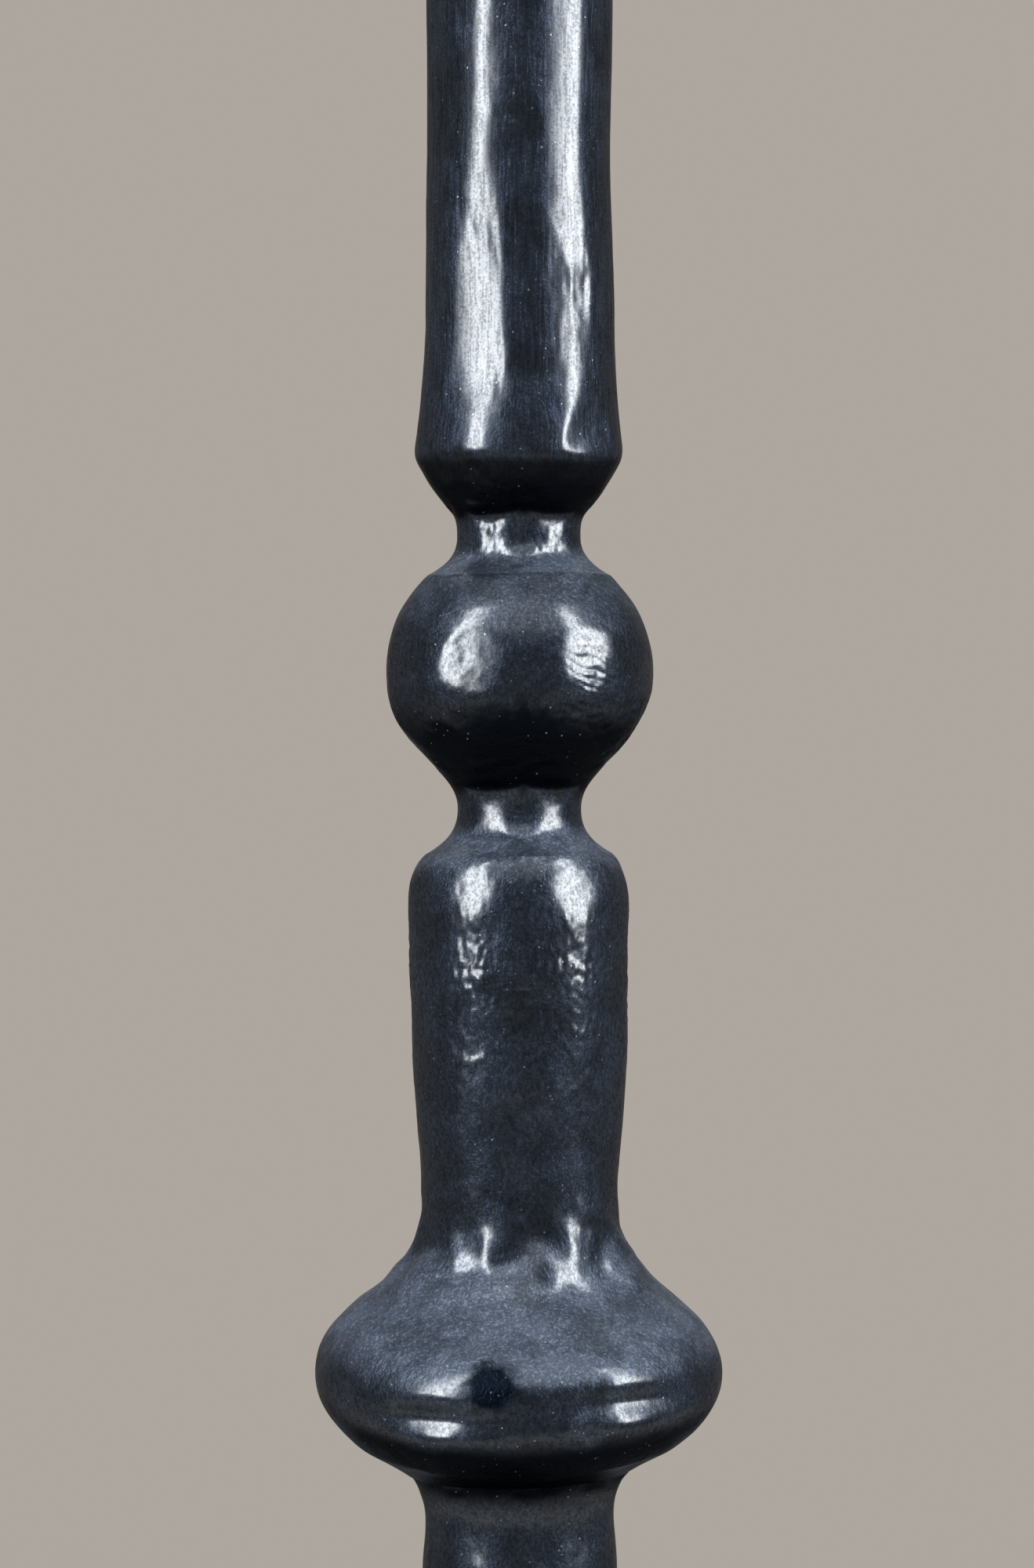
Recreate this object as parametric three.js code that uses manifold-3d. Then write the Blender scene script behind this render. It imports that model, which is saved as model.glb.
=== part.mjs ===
// A floor lamp of black-waxed iron. Turned and hand-forged iron pieces are stacked on a threaded tie tube,
// from a broad ogee foot up to a brass lampholder, and a linen shade sits between the holder's two rings.
// Millimetres, +Z up, origin on the floor under the middle of the foot.

import * as THREE from "three";
import { mergeVertices } from "three/addons/utils/BufferGeometryUtils.js";
import Module from "manifold-3d";

const wasm = await Module();
wasm.setup();

// Clearances
const seatGap = 0.3; // between a piece and what it is cut for or seated in
const boreGap = 0.4; // round the tie tube, in the bores that it passes
const threadGap = 0.4; // between a screwed piece and its thread, where no helix is cut
const cutPast = 1; // how far a cutting tool runs past the face that it cuts

// How finely round pieces are turned
const stemSides = 24;
const forgedSides = 24; // three to each forging flat
const smallSides = 24;
const screwSides = 12;
const footSides = 36;
const shadeSides = 44;
const curveSteps = 4;
const longCurveSteps = 6;

// Tie tube: an M10 threaded steel tube, from under the ballast plate to inside the lampholder
const tubeR = 5;
const tubeBoreR = 3.8;
const tubeBelowNut = 2;
const boreR = tubeR + boreGap;

// Nuts and washers on the tie tube
const nutAcrossFlats = 17;
const nutT = 6;
const washerR = 11;
const washerT = 2;

// Felt, ballast plate and foot
const feltT = 3;
const feltR = 138;
const plateR = 124;
const plateT = 18;
const nutWellR = 17;
const nutWellSpare = 3; // between the tie tube's end and the felt
const channelW = 10;
const footR = 145;
const footEdge = 5; // how far the rim's foot is drawn in
const footRimZ = 14; // height of the rim's widest line above the felt
const footShoulderR = 112;
const footShoulderZ = 34;
const footH = 97;
const footLip = 1; // how far the foot's neck stands out round the column
const footWall = 8;
const footBossR = 17;
const footHollowZ = 41; // height of the hollow beside the boss
const footLedge = 7; // how far the foot bears on the ballast plate's rim
const shoulderSlope = 172;
const footNeckSlope = 95;

// Cord outlet bush, in the back of the foot's rim
const bushBoreR = 3.8;
const bushR = 6;
const bushFlangeR = 8.5;
const bushFlangeT = 2;
const bushEdge = 0.8;
const bushRise = 9; // height of its middle above the felt

// Lower column: a tube whose ends are swaged in to the tie tube
const columnH = 540;
const columnFootR = 18.5;
const columnR = 15.6;
const columnTopR = 17.4;
const columnFlareH = 16;
const columnWall = 5;
const swagedEnd = 24;
const columnFootSlope = 115;
const columnTopSlope = 65;

// Knop and sleeve, one forging
const knopH = 99;
const knopR = 32.2;
const knopRimZ = 15.6;
const knopTurnR = 24.8; // where the rim's curve turns into the hollow above it
const knopTurnZ = 28.4;
const knopFootSlope = 25;
const knopTurnSlope = 140;
const sleeveWaistR = 15.7;
const sleeveWaistZ = 44;
const sleeveR = 17.2;
const sleeveSwellZ = 70;
const sleeveTopR = 17.4;
const sleeveShoulderZ = 89;
const sleeveEndR = 14.8;
const sleeveEndSlope = 140;
const sleeveEndFullness = 0.3;

// Necks and ball
const lowerNeckH = 14.1;
const neckR = 9.8;
const lowerNeckWaistZ = 7.2;
const lowerNeckTopR = 13.6;
const ballH = 30;
const ballR = 21.1;
const ballMiddleZ = 15;
const ballTopR = 14.4;
const ballFootSlope = 44;
const ballTopSlope = 138;
const upperNeckH = 10.6;
const upperNeckWaistZ = 6;
const upperNeckTopR = 10.9;
const neckFootSlope = 150;
const neckTopSlope = 50;

// Upper shaft: a tapered tube, flared and chamfered at its lower end
const shaftH = 414;
const shaftEndR = 11.2;
const shaftArrisR = 16.7;
const shaftArrisZ = 9.4;
const shaftArrisT = 1.2; // height of the worn edge of the arris
const shaftFlareZ = 30;
const shaftLowR = 15;
const shaftWaistR = 14.5;
const shaftWaistZ = 62;
const shaftBellyR = 14.9;
const shaftBellyZ = 110;
const shaftTopR = 12.8;
const shaftTopEdge = 4;
const shaftWall = 5;
const shaftEndSlope = 50;
const shaftArrisSlope = 62;
const shaftFlareSlope = 97;

// Head of the stem: a small ball and the cup that hides the top nut
const headBallH = 25;
const headBallR = 14.6;
const headBallZ = 14; // height of the ball's middle in its piece
const headBallFootR = 11.6;
const headBallTopR = 8.8;
const headNeckR = 8.4;
const headNeckZ = 3.6;
const cupH = 13;
const cupR = 22;
const cupFloor = 5;
const cupWall = 2;
const cupLip = 1;
const cupFootR = 9.4;

// Forging flats: how many go round a piece, and how deep they are as a share of its radius
const flats = 8;
const flatDepth = 0.03;

// Lampholder cap, with a rotary switch inside
const collarR = 8.5;
const collarH = 8;
const holderFloor = 2;
const holderR = 19.6;
const holderDomeH = 23;
const holderCapH = 40;
const holderWall = 1.3;
const domeSlope = 35;
const blockR = 16.5;
const blockH = 12;
const blockZ = 19;
const grubR = 1.5;
const grubL = 3.4;

// Lamp
const lampR = 30;
const lampH = 82;
const lampNeckR = 13.2;
const lampNeckSlope = 70;
const capR = 13.1;
const capGroove = 1;
const capTurns = 4;
const capPitch = 3.62;
const capFootH = 1;
const capH = 22;
const capInsulatorH = 3.4;
const capInsulatorEndR = 6.2;
const capInsulatorInset = 0.6;
const tipR = 4.6;
const tipT = 1.6;

// Screw shell, insulator, contacts and skirt of the holder
const shellBoreR = capR + threadGap;
const shellWall = 0.9;
const shellR = shellBoreR + shellWall;
const shellH = 24;
const skirtH = 32;
const skirtR = 18.9;
const skirtSpigotH = 6;
const skirtSpigotWall = 0.7;
const skirtFlangeT = 2;
const skirtLipGap = 1;
const skirtBoreR = holderR - holderWall - seatGap - skirtSpigotWall;
const insulatorR = skirtBoreR - seatGap;
const insulatorH = 15;
const insulatorWellR = 8;
const insulatorWellD = 5;
const pocketD = 6;
const terminalR = 2.2;
const terminalShankR = 1.3;
const terminalHeadT = 1.6;
const terminalAtR = 11.8;
const contactW = 5;
const contactT = 0.8;
const contactL = 12;
const contactHeelL = 4;
const contactCrestL = 9; // from the heel's end of the strip to its highest line
const contactRise = 3;
const contactDip = 0.6;

// Switch spindle and knob, on the holder's right side
const spindleR = 2;
const spindleL = 18;
const spindleZ = 27;
const spindleInBlock = 7;
const knobR = 7.5;
const knobL = 12;
const knobGrip = 7; // how far the spindle goes into the knob
const knobRibs = 12;
const knobRibD = 0.7;

// Shade rings, screwed on the holder's skirt, and the shade's hub between them
const ringR = 28;
const ringT = 7;
const ringRibs = 24;
const ringRibD = 0.8;
const lowerRingZ = 9; // above the holder's cap
const hubBoreR = 21;
const hubR = 31;
const hubT = 2;

// Shade: a linen cover on a stiff liner, with a wire ring and a cloth binding at each end
const shadeH = 290;
const shadeBottomR = 210;
const shadeTopR = 150;
const coverT = 1;
const linerT = 0.9;
const shadeBelowHolder = 6;
const wireR = 1.9;
const wireSides = 6;
const wireFromEdge = 1;
const bindingW = 9;
const bindingT = 0.8;
const armR = 1.7;
const armSides = 10;
const armCount = 3;

// Finishes
const finish = (name, color, roughness, metalness) =>
  new THREE.MeshStandardMaterial({ name, color, roughness, metalness });
const blackIron = finish("black_iron", 0x15171b, 0.38, 0.6);
const bareSteel = finish("bare_steel", 0x8a8c8e, 0.45, 1);
const agedBrass = finish("aged_brass", 0x8f7442, 0.35, 1);
const blackPlastic = finish("black_plastic", 0x121212, 0.5, 0);
const porcelain = finish("porcelain", 0xe9e6df, 0.3, 0);
const linen = finish("linen", 0xd9cfbb, 0.95, 0);
const whiteLiner = finish("white_liner", 0xf3efe6, 0.6, 0);
const wireWhite = finish("wire_white", 0xe8e4da, 0.4, 0);
const opalGlass = finish("opal_glass", 0xf5f4ef, 0.15, 0);
const nickel = finish("nickel", 0xb9b6ae, 0.3, 1);
const felt = finish("felt", 0x26332b, 1, 0);

const lamp = new THREE.Group();
lamp.name = "floor_lamp";

// Adds one piece of the lamp, standing with its own foot at height z.
function add(name, geometry, material, z = 0, x = 0, y = 0) {
  const mesh = new THREE.Mesh(geometry, material);
  mesh.name = name;
  mesh.position.set(x, y, z);
  lamp.add(mesh);
  return mesh;
}

// Directions of an outline's curves, in degrees turned from straight out towards straight up
const outwards = 0;
const up = 90;
const inwards = 180;
const down = 270;

// Length of a curve's handles, as a share of its chord, that bends it into a quarter of a circle
const roundness = 0.39;

// An outline of radius and height. sweep() curves on to a point, leaving and arriving in given directions.
class Outline {
  constructor(r, z) {
    this.path = new THREE.Path();
    this.path.moveTo(r, z);
  }
  line(...points) {
    points.forEach(([r, z]) => this.path.lineTo(r, z));
    return this;
  }
  sweep(end, leave, arrive, fullness = roundness) {
    const start = this.path.currentPoint.clone();
    const stop = new THREE.Vector2(...end);
    const reach = fullness * start.distanceTo(stop);
    const handle = (point, degrees, length) => {
      const angle = THREE.MathUtils.degToRad(degrees);
      return [point.x + length * Math.cos(angle), point.y + length * Math.sin(angle)];
    };
    this.path.bezierCurveTo(...handle(start, leave, reach), ...handle(stop, arrive, -reach), ...end);
    return this;
  }
  points(steps) {
    return this.path.getPoints(steps);
  }
}

// Turns a closed outline of radius and height about the Z axis.
function turned(points, sides) {
  const corners = points.filter((p, i) => i === 0 || p.distanceTo(points[i - 1]) > 1e-6);
  if (corners[0].distanceTo(corners[corners.length - 1]) > 1e-6) corners.push(corners[0].clone());
  if (THREE.ShapeUtils.area(corners) < 0) corners.reverse();
  return new THREE.LatheGeometry(corners, sides).rotateX(Math.PI / 2);
}

// A plain ring or disc between two heights. A bore of 0 makes it solid.
function ring(outerR, innerR, bottom, top, sides = smallSides) {
  const outline = new Outline(innerR, bottom).line([outerR, bottom], [outerR, top], [innerR, top]);
  return turned(outline.points(1), sides);
}

// Beats flats round a turned piece, with a corner at +X: every point outside keepR is drawn in to its flat.
function forged(geometry, keepR) {
  const position = geometry.getAttribute("position");
  const step = (2 * Math.PI) / flats;
  for (let i = 0; i < position.count; i++) {
    const x = position.getX(i);
    const y = position.getY(i);
    const r = Math.hypot(x, y);
    if (r <= keepR) continue;
    const angle = Math.atan2(y, x);
    const fromFlat = angle - step * (Math.floor(angle / step + 1e-6) + 0.5);
    const flatR = (r * (1 - flatDepth)) / Math.cos(fromFlat);
    const scale = Math.min(1, flatR / r);
    position.setXY(i, x * scale, y * scale);
  }
  geometry.computeVertexNormals();
  return geometry;
}

// Booleans
function solid(geometry) {
  const bare = new THREE.BufferGeometry();
  bare.setAttribute("position", geometry.getAttribute("position").clone());
  if (geometry.index) bare.setIndex(geometry.index.clone());
  const merged = mergeVertices(bare, 1e-4);
  const triVerts = new Uint32Array(merged.index.array);
  return new wasm.Manifold(
    new wasm.Mesh({ numProp: 3, vertProperties: merged.attributes.position.array, triVerts }),
  );
}

function geometryOf(manifold) {
  const mesh = manifold.getMesh();
  const corners = new Float32Array(mesh.numVert * 3);
  for (let i = 0; i < mesh.numVert; i++) {
    corners.set(mesh.vertProperties.subarray(i * mesh.numProp, i * mesh.numProp + 3), i * 3);
  }
  const geometry = new THREE.BufferGeometry();
  geometry.setAttribute("position", new THREE.BufferAttribute(corners, 3));
  geometry.setIndex(new THREE.BufferAttribute(new Uint32Array(mesh.triVerts), 1));
  geometry.computeVertexNormals();
  return geometry;
}

function cut(body, ...tools) {
  return geometryOf(tools.reduce((left, tool) => left.subtract(solid(tool)), solid(body)));
}

// A rod along X or Y, between two distances from the axis
function rodAlongX(r, from, to, sides = smallSides) {
  return new THREE.CylinderGeometry(r, r, to - from, sides)
    .rotateZ(-Math.PI / 2)
    .translate((from + to) / 2, 0, 0);
}

function rodAlongY(r, from, to, sides = smallSides) {
  return new THREE.CylinderGeometry(r, r, to - from, sides).translate(0, (from + to) / 2, 0);
}

// An upright prism of a polygon whose corners lie by turns at r and at r - dent, with or without a bore
function prism(corners, r, dent, height, holeR = 0) {
  const outline = [];
  for (let i = 0; i < corners; i++) {
    const angle = (i * 2 * Math.PI) / corners;
    const cornerR = r - (i % 2) * dent;
    outline.push(new THREE.Vector2(cornerR * Math.cos(angle), cornerR * Math.sin(angle)));
  }
  const shape = new THREE.Shape(outline);
  if (holeR > 0) shape.holes.push(new THREE.Path().absarc(0, 0, holeR, 0, 2 * Math.PI, true));
  return new THREE.ExtrudeGeometry(shape, { depth: height, bevelEnabled: false, curveSegments: smallSides });
}

function hexNut() {
  return prism(6, nutAcrossFlats / 2 / Math.cos(Math.PI / 6), 0, nutT, tubeR + threadGap);
}

// Felt pad and ballast plate
const plateZ = feltT;
const nutWellD = washerT + nutT + tubeBelowNut + nutWellSpare;
add("felt_pad", ring(feltR, 0, 0, feltT, footSides), felt);

function ballastPlate() {
  const disc = ring(plateR, boreR, 0, plateT, footSides);
  const well = ring(nutWellR, 0, -cutPast, nutWellD);
  const channelL = plateR + cutPast;
  const channel = new THREE.BoxGeometry(channelW, channelL, nutWellD + cutPast);
  channel.translate(0, channelL / 2, (nutWellD - cutPast) / 2);
  return cut(disc, well, channel);
}
add("ballast_plate", ballastPlate(), bareSteel, plateZ);

// Foot: an ogee casting, hollow under its shoulder, with a boss that stands on the ballast plate
function foot() {
  const ledgeZ = plateT + seatGap;
  const plateWellR = plateR + seatGap;
  const casting = new Outline(boreR, ledgeZ)
    .line([footBossR, ledgeZ], [footBossR, footHollowZ], [footShoulderR, footShoulderZ - footWall])
    .line([plateR - footLedge, ledgeZ], [plateWellR, ledgeZ], [plateWellR, 0], [footR - footEdge, 0])
    .sweep([footR, footRimZ], outwards, up)
    .sweep([footShoulderR, footShoulderZ], up, shoulderSlope)
    .sweep([columnFootR + footLip, footH], shoulderSlope, footNeckSlope)
    .line([boreR, footH]);
  const bushHole = rodAlongY(bushR + seatGap, plateR - cutPast, footR + cutPast);
  return cut(turned(casting.points(longCurveSteps), footSides), bushHole.translate(0, 0, bushRise));
}
add("foot", foot(), blackIron, feltT);

// The bush pushes into the rim from behind and bears on it with its flange.
function cordBush() {
  const flangeY = footR + seatGap;
  const outerEnd = flangeY + bushFlangeT;
  const innerEnd = plateR + 2 * seatGap;
  const outline = new Outline(bushBoreR, innerEnd)
    .line([bushR, innerEnd], [bushR, flangeY], [bushFlangeR, flangeY])
    .line([bushFlangeR, outerEnd - bushEdge], [bushFlangeR - bushEdge, outerEnd], [bushBoreR, outerEnd]);
  return turned(outline.points(1), smallSides).rotateX(-Math.PI / 2);
}
add("cord_bush", cordBush(), blackPlastic, feltT + bushRise);

// Bottom washer and nut, in the well of the ballast plate
const bottomWasherZ = plateZ + nutWellD - washerT;
const bottomNutZ = bottomWasherZ - nutT;
add("bottom_washer", ring(washerR, boreR, 0, washerT), bareSteel, bottomWasherZ);
add("bottom_nut", hexNut(), bareSteel, bottomNutZ);

// The hollow of a swaged tube, from top to bottom: a narrow bore at both ends and a wide one between
function swagedBore(outline, height, hollowR) {
  const taper = hollowR - boreR;
  return outline.line(
    [boreR, height],
    [boreR, height - swagedEnd],
    [hollowR, height - swagedEnd - taper],
    [hollowR, swagedEnd + taper],
    [boreR, swagedEnd],
    [boreR, 0],
  );
}

// Lower column
const columnZ = feltT + footH;

function lowerColumn() {
  const tube = new Outline(columnFootR, 0)
    .sweep([columnR, columnFlareH], columnFootSlope, up)
    .line([columnR, columnH - columnFlareH])
    .sweep([columnTopR, columnH], up, columnTopSlope);
  return turned(swagedBore(tube, columnH, columnR - columnWall).points(curveSteps), stemSides);
}
add("lower_column", lowerColumn(), blackIron, columnZ);

// Knop and sleeve
const knopZ = columnZ + columnH;

function knopSleeve() {
  const forging = new Outline(columnTopR, 0)
    .sweep([knopR, knopRimZ], knopFootSlope, up)
    .sweep([knopTurnR, knopTurnZ], up, knopTurnSlope)
    .sweep([sleeveWaistR, sleeveWaistZ], knopTurnSlope, up)
    .sweep([sleeveR, sleeveSwellZ], up, up)
    .line([sleeveTopR, sleeveShoulderZ])
    .sweep([sleeveEndR, knopH], up, sleeveEndSlope, sleeveEndFullness)
    .line([boreR, knopH], [boreR, 0]);
  return turned(forging.points(curveSteps), stemSides);
}
add("knop_sleeve", knopSleeve(), blackIron, knopZ);

// Lower neck, ball and upper neck
const lowerNeckZ = knopZ + knopH;
const ballZ = lowerNeckZ + lowerNeckH;
const upperNeckZ = ballZ + ballH;

function neck(height, footR, waistZ, topR) {
  const outline = new Outline(footR, 0)
    .sweep([neckR, waistZ], neckFootSlope, up)
    .sweep([topR, height], up, neckTopSlope)
    .line([boreR, height], [boreR, 0]);
  return turned(outline.points(curveSteps), stemSides);
}

function ball() {
  const outline = new Outline(lowerNeckTopR, 0)
    .sweep([ballR, ballMiddleZ], ballFootSlope, up)
    .sweep([ballTopR, ballH], up, ballTopSlope)
    .line([boreR, ballH], [boreR, 0]);
  return forged(turned(outline.points(curveSteps), forgedSides), Math.max(lowerNeckTopR, ballTopR));
}
add("lower_neck", neck(lowerNeckH, sleeveEndR, lowerNeckWaistZ, lowerNeckTopR), blackIron, lowerNeckZ);
add("ball", ball(), blackIron, ballZ);
add("upper_neck", neck(upperNeckH, ballTopR, upperNeckWaistZ, upperNeckTopR), blackIron, upperNeckZ);

// Upper shaft
const shaftZ = upperNeckZ + upperNeckH;

function upperShaft() {
  const tube = new Outline(shaftEndR, 0)
    .sweep([shaftArrisR, shaftArrisZ - shaftArrisT], shaftEndSlope, shaftArrisSlope)
    .line([shaftArrisR, shaftArrisZ])
    .sweep([shaftLowR, shaftFlareZ], shaftFlareSlope, up)
    .sweep([shaftWaistR, shaftWaistZ], up, up)
    .sweep([shaftBellyR, shaftBellyZ], up, up)
    .line([shaftTopR, shaftH - shaftTopEdge], [headBallFootR, shaftH]);
  const hollow = swagedBore(tube, shaftH, shaftTopR - shaftWall);
  return forged(turned(hollow.points(curveSteps), forgedSides), headBallFootR);
}
add("upper_shaft", upperShaft(), blackIron, shaftZ);

// Head of the stem
const headZ = shaftZ + shaftH;
const cupZ = headZ + headBallH;

function headBall() {
  const outline = new Outline(headBallFootR, 0)
    .sweep([headNeckR, headNeckZ], neckFootSlope, up)
    .sweep([headBallR, headBallZ], outwards, up)
    .sweep([headBallTopR, headBallH], up, inwards)
    .line([boreR, headBallH], [boreR, 0]);
  return turned(outline.points(curveSteps), stemSides);
}
add("head_ball", headBall(), blackIron, headZ);

function holderCup() {
  const innerR = cupR - cupWall;
  const outline = new Outline(cupFootR, 0)
    .sweep([cupR, cupH - cupLip], outwards, up)
    .line([cupR - cupWall / 2, cupH], [innerR, cupH - cupLip])
    .sweep([washerR + cupLip, cupFloor], down, inwards)
    .line([boreR, cupFloor], [boreR, 0]);
  return turned(outline.points(curveSteps), stemSides);
}
add("holder_cup", holderCup(), blackIron, cupZ);
const topWasherZ = cupZ + cupFloor;
const topNutZ = topWasherZ + washerT;
add("top_washer", ring(washerR, boreR, 0, washerT), bareSteel, topWasherZ);
add("top_nut", hexNut(), bareSteel, topNutZ);

// The tie tube ends flush with the floor of the lampholder's cap.
const holderZ = topNutZ + nutT;
const tubeBottomZ = bottomNutZ - tubeBelowNut;
const tubeTopZ = holderZ + collarH + holderFloor;
add("tie_tube", ring(tubeR, tubeBoreR, tubeBottomZ, tubeTopZ), bareSteel);

// Lampholder cap, with holes for the switch spindle and the grub screw
function holderCap() {
  const innerR = holderR - holderWall;
  const floorZ = collarH + holderFloor;
  const cap = new Outline(boreR, 0)
    .line([collarR, 0], [collarR, collarH])
    .sweep([holderR, holderDomeH], domeSlope, up)
    .line([holderR, holderCapH], [innerR, holderCapH], [innerR, holderDomeH])
    .sweep([collarR, floorZ], down, domeSlope + inwards)
    .line([boreR, floorZ]);
  const spindleHole = rodAlongX(spindleR + seatGap, blockR, holderR + cutPast).translate(0, 0, spindleZ);
  const grubHole = rodAlongY(grubR + seatGap, -collarR - cutPast, -tubeR, screwSides);
  return cut(turned(cap.points(curveSteps), smallSides), spindleHole, grubHole.translate(0, 0, collarH / 2));
}
add("holder_cap", holderCap(), agedBrass, holderZ);
const grubEnd = tubeR + seatGap;
add("grub_screw", rodAlongY(grubR, -grubEnd - grubL, -grubEnd, screwSides), bareSteel, holderZ + collarH / 2);

// Switch block, insulator and screw shell, inside the holder
const switchBlockZ = holderZ + blockZ;
const insulatorZ = switchBlockZ + blockH;
const wellFloorZ = insulatorZ + insulatorH - insulatorWellD;
const shellZ = insulatorZ + insulatorH;

function switchBlock() {
  const hole = rodAlongX(spindleR + seatGap, blockR - spindleInBlock, blockR + cutPast);
  return cut(ring(blockR, 0, 0, blockH), hole.translate(0, 0, spindleZ - blockZ));
}
add("switch_block", switchBlock(), blackPlastic, switchBlockZ);

function holderInsulator() {
  const well = ring(insulatorWellR, 0, insulatorH - insulatorWellD, insulatorH + cutPast);
  const pockets = [1, -1].map((side) =>
    ring(terminalR + seatGap, 0, insulatorH - pocketD, insulatorH + cutPast, screwSides)
      .translate(0, side * terminalAtR, 0),
  );
  return cut(ring(insulatorR, 0, 0, insulatorH), well, ...pockets);
}
add("holder_insulator", holderInsulator(), porcelain, insulatorZ);
add("screw_shell", ring(shellR, shellBoreR, 0, shellH), agedBrass, shellZ);

// The two terminal screws stand in their pockets, with their heads just under the screw shell.
function terminal() {
  const top = pocketD - seatGap;
  const screw = new Outline(0, 0)
    .line([terminalShankR, 0], [terminalShankR, top - terminalHeadT])
    .line([terminalR, top - terminalHeadT], [terminalR, top], [0, top]);
  return turned(screw.points(1), screwSides);
}
const terminalZ = shellZ - pocketD;
add("live_terminal", terminal(), agedBrass, terminalZ, 0, terminalAtR);
add("neutral_terminal", terminal(), agedBrass, terminalZ, 0, -terminalAtR);

// A springy tongue that rises from the well's floor to the lamp's tip
function centreContact() {
  const tipEnd = [contactL, contactRise - contactDip];
  const under = [[0, 0], [contactHeelL, 0], [contactCrestL, contactRise], tipEnd];
  const over = under.map(([x, z]) => [x, z + contactT]).reverse();
  const side = new THREE.Shape([...under, ...over].map(([x, z]) => new THREE.Vector2(x, z)));
  const strip = new THREE.ExtrudeGeometry(side, { depth: contactW, bevelEnabled: false });
  return strip.rotateX(Math.PI / 2).translate(-contactL / 2, contactW / 2, 0);
}
add("centre_contact", centreContact(), agedBrass, wellFloorZ);

// Skirt of the holder: a spigot inside the cap, a flange on its rim and a thread for the shade rings
const skirtZ = holderZ + holderCapH;

function holderSkirt() {
  const lipR = shellR + skirtLipGap;
  const spigotR = skirtBoreR + skirtSpigotWall;
  const outline = new Outline(skirtBoreR, -skirtSpigotH)
    .line([spigotR, -skirtSpigotH], [spigotR, 0], [holderR, 0], [holderR, skirtFlangeT])
    .line([skirtR, skirtFlangeT], [skirtR, skirtH], [lipR, skirtH])
    .line([lipR, skirtH - holderWall], [skirtBoreR, skirtH - holderWall]);
  return turned(outline.points(1), smallSides);
}
add("holder_skirt", holderSkirt(), agedBrass, skirtZ);

// Shade rings
const lowerRingFootZ = skirtZ + lowerRingZ;
const hubZ = lowerRingFootZ + ringT + seatGap;
const upperRingFootZ = hubZ + hubT + seatGap;
const shadeRing = () => prism(2 * ringRibs, ringR, ringRibD, ringT, skirtR + threadGap);
add("lower_shade_ring", shadeRing(), blackPlastic, lowerRingFootZ);
add("upper_shade_ring", shadeRing(), blackPlastic, upperRingFootZ);

// Switch spindle and knob
const spindleStart = blockR - spindleInBlock + seatGap;
const spindleEnd = spindleStart + spindleL;
const switchZ = holderZ + spindleZ;
add("switch_spindle", rodAlongX(spindleR, spindleStart, spindleEnd, screwSides), agedBrass, switchZ);

function switchKnob() {
  const knobStart = spindleEnd - knobGrip;
  const body = prism(2 * knobRibs, knobR, knobRibD, knobL).rotateY(Math.PI / 2).translate(knobStart, 0, 0);
  const socket = rodAlongX(spindleR + seatGap, knobStart - cutPast, spindleEnd + seatGap, screwSides);
  return cut(body, socket);
}
add("switch_knob", switchKnob(), blackPlastic, switchZ);

// Lamp: tip, insulator, screw cap and opal bulb
const tipZ = wellFloorZ + contactRise + contactT + seatGap;
const lampInsulatorZ = tipZ + tipT;
const lampCapZ = lampInsulatorZ + capInsulatorH;
const capGrooveR = capR - capGroove;
add("lamp_tip", ring(tipR, 0, 0, tipT, screwSides), nickel, tipZ);

function lampInsulator() {
  const outline = new Outline(0, 0)
    .line([capInsulatorEndR, 0], [capGrooveR - capInsulatorInset, capInsulatorH], [0, capInsulatorH]);
  return turned(outline.points(1), smallSides);
}
add("lamp_insulator", lampInsulator(), blackPlastic, lampInsulatorZ);

function lampCap() {
  const outline = new Outline(0, 0).line([capGrooveR, 0]);
  for (let i = 0; i < capTurns; i++) {
    const z = capFootH + i * capPitch;
    outline.line([capGrooveR, z], [capR, z + capPitch / 2]);
  }
  const threadTopZ = capFootH + capTurns * capPitch;
  outline.line([capGrooveR, threadTopZ], [capR, threadTopZ + capPitch / 2], [capR, capH], [0, capH]);
  return turned(outline.points(1), smallSides);
}
add("lamp_cap", lampCap(), nickel, lampCapZ);

function lampGlass() {
  const middleZ = lampH - lampR;
  const outline = new Outline(0, 0)
    .line([lampNeckR, 0])
    .sweep([lampR, middleZ], lampNeckSlope, up)
    .sweep([0, lampH], up, inwards);
  return turned(outline.points(curveSteps), smallSides);
}
add("lamp_glass", lampGlass(), opalGlass, lampCapZ + capH);

// Shade. Its wall leans in from bottom to top, and every layer is set off square to it.
const shadeZ = holderZ - shadeBelowHolder;
const slantL = Math.hypot(shadeBottomR - shadeTopR, shadeH);
const outAlongR = shadeH / slantL;
const outAlongZ = (shadeBottomR - shadeTopR) / slantL;

// A point on the shade: a distance up the slant, and a distance inwards from the cover's face
function onSlant(alongSlant, inFromFace) {
  const share = alongSlant / slantL;
  const r = shadeBottomR + (shadeTopR - shadeBottomR) * share - inFromFace * outAlongR;
  return [r, shadeH * share - inFromFace * outAlongZ];
}

function slantLayer(from, to, outside, inside) {
  const outline = new Outline(...onSlant(from, outside))
    .line(onSlant(to, outside), onSlant(to, inside), onSlant(from, inside));
  return turned(outline.points(1), shadeSides);
}

const linerFace = coverT + seatGap;
const layersT = linerFace + linerT;
const edgeIn = bindingT + seatGap;
add("shade_cover", slantLayer(edgeIn, slantL - edgeIn, 0, coverT), linen, shadeZ);
add("shade_liner", slantLayer(edgeIn, slantL - edgeIn, linerFace, layersT), whiteLiner, shadeZ);

// A wire ring lies inside the liner at each end.
const wireIn = layersT + seatGap + wireR;
const wireUp = edgeIn + wireR + wireFromEdge;

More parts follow.
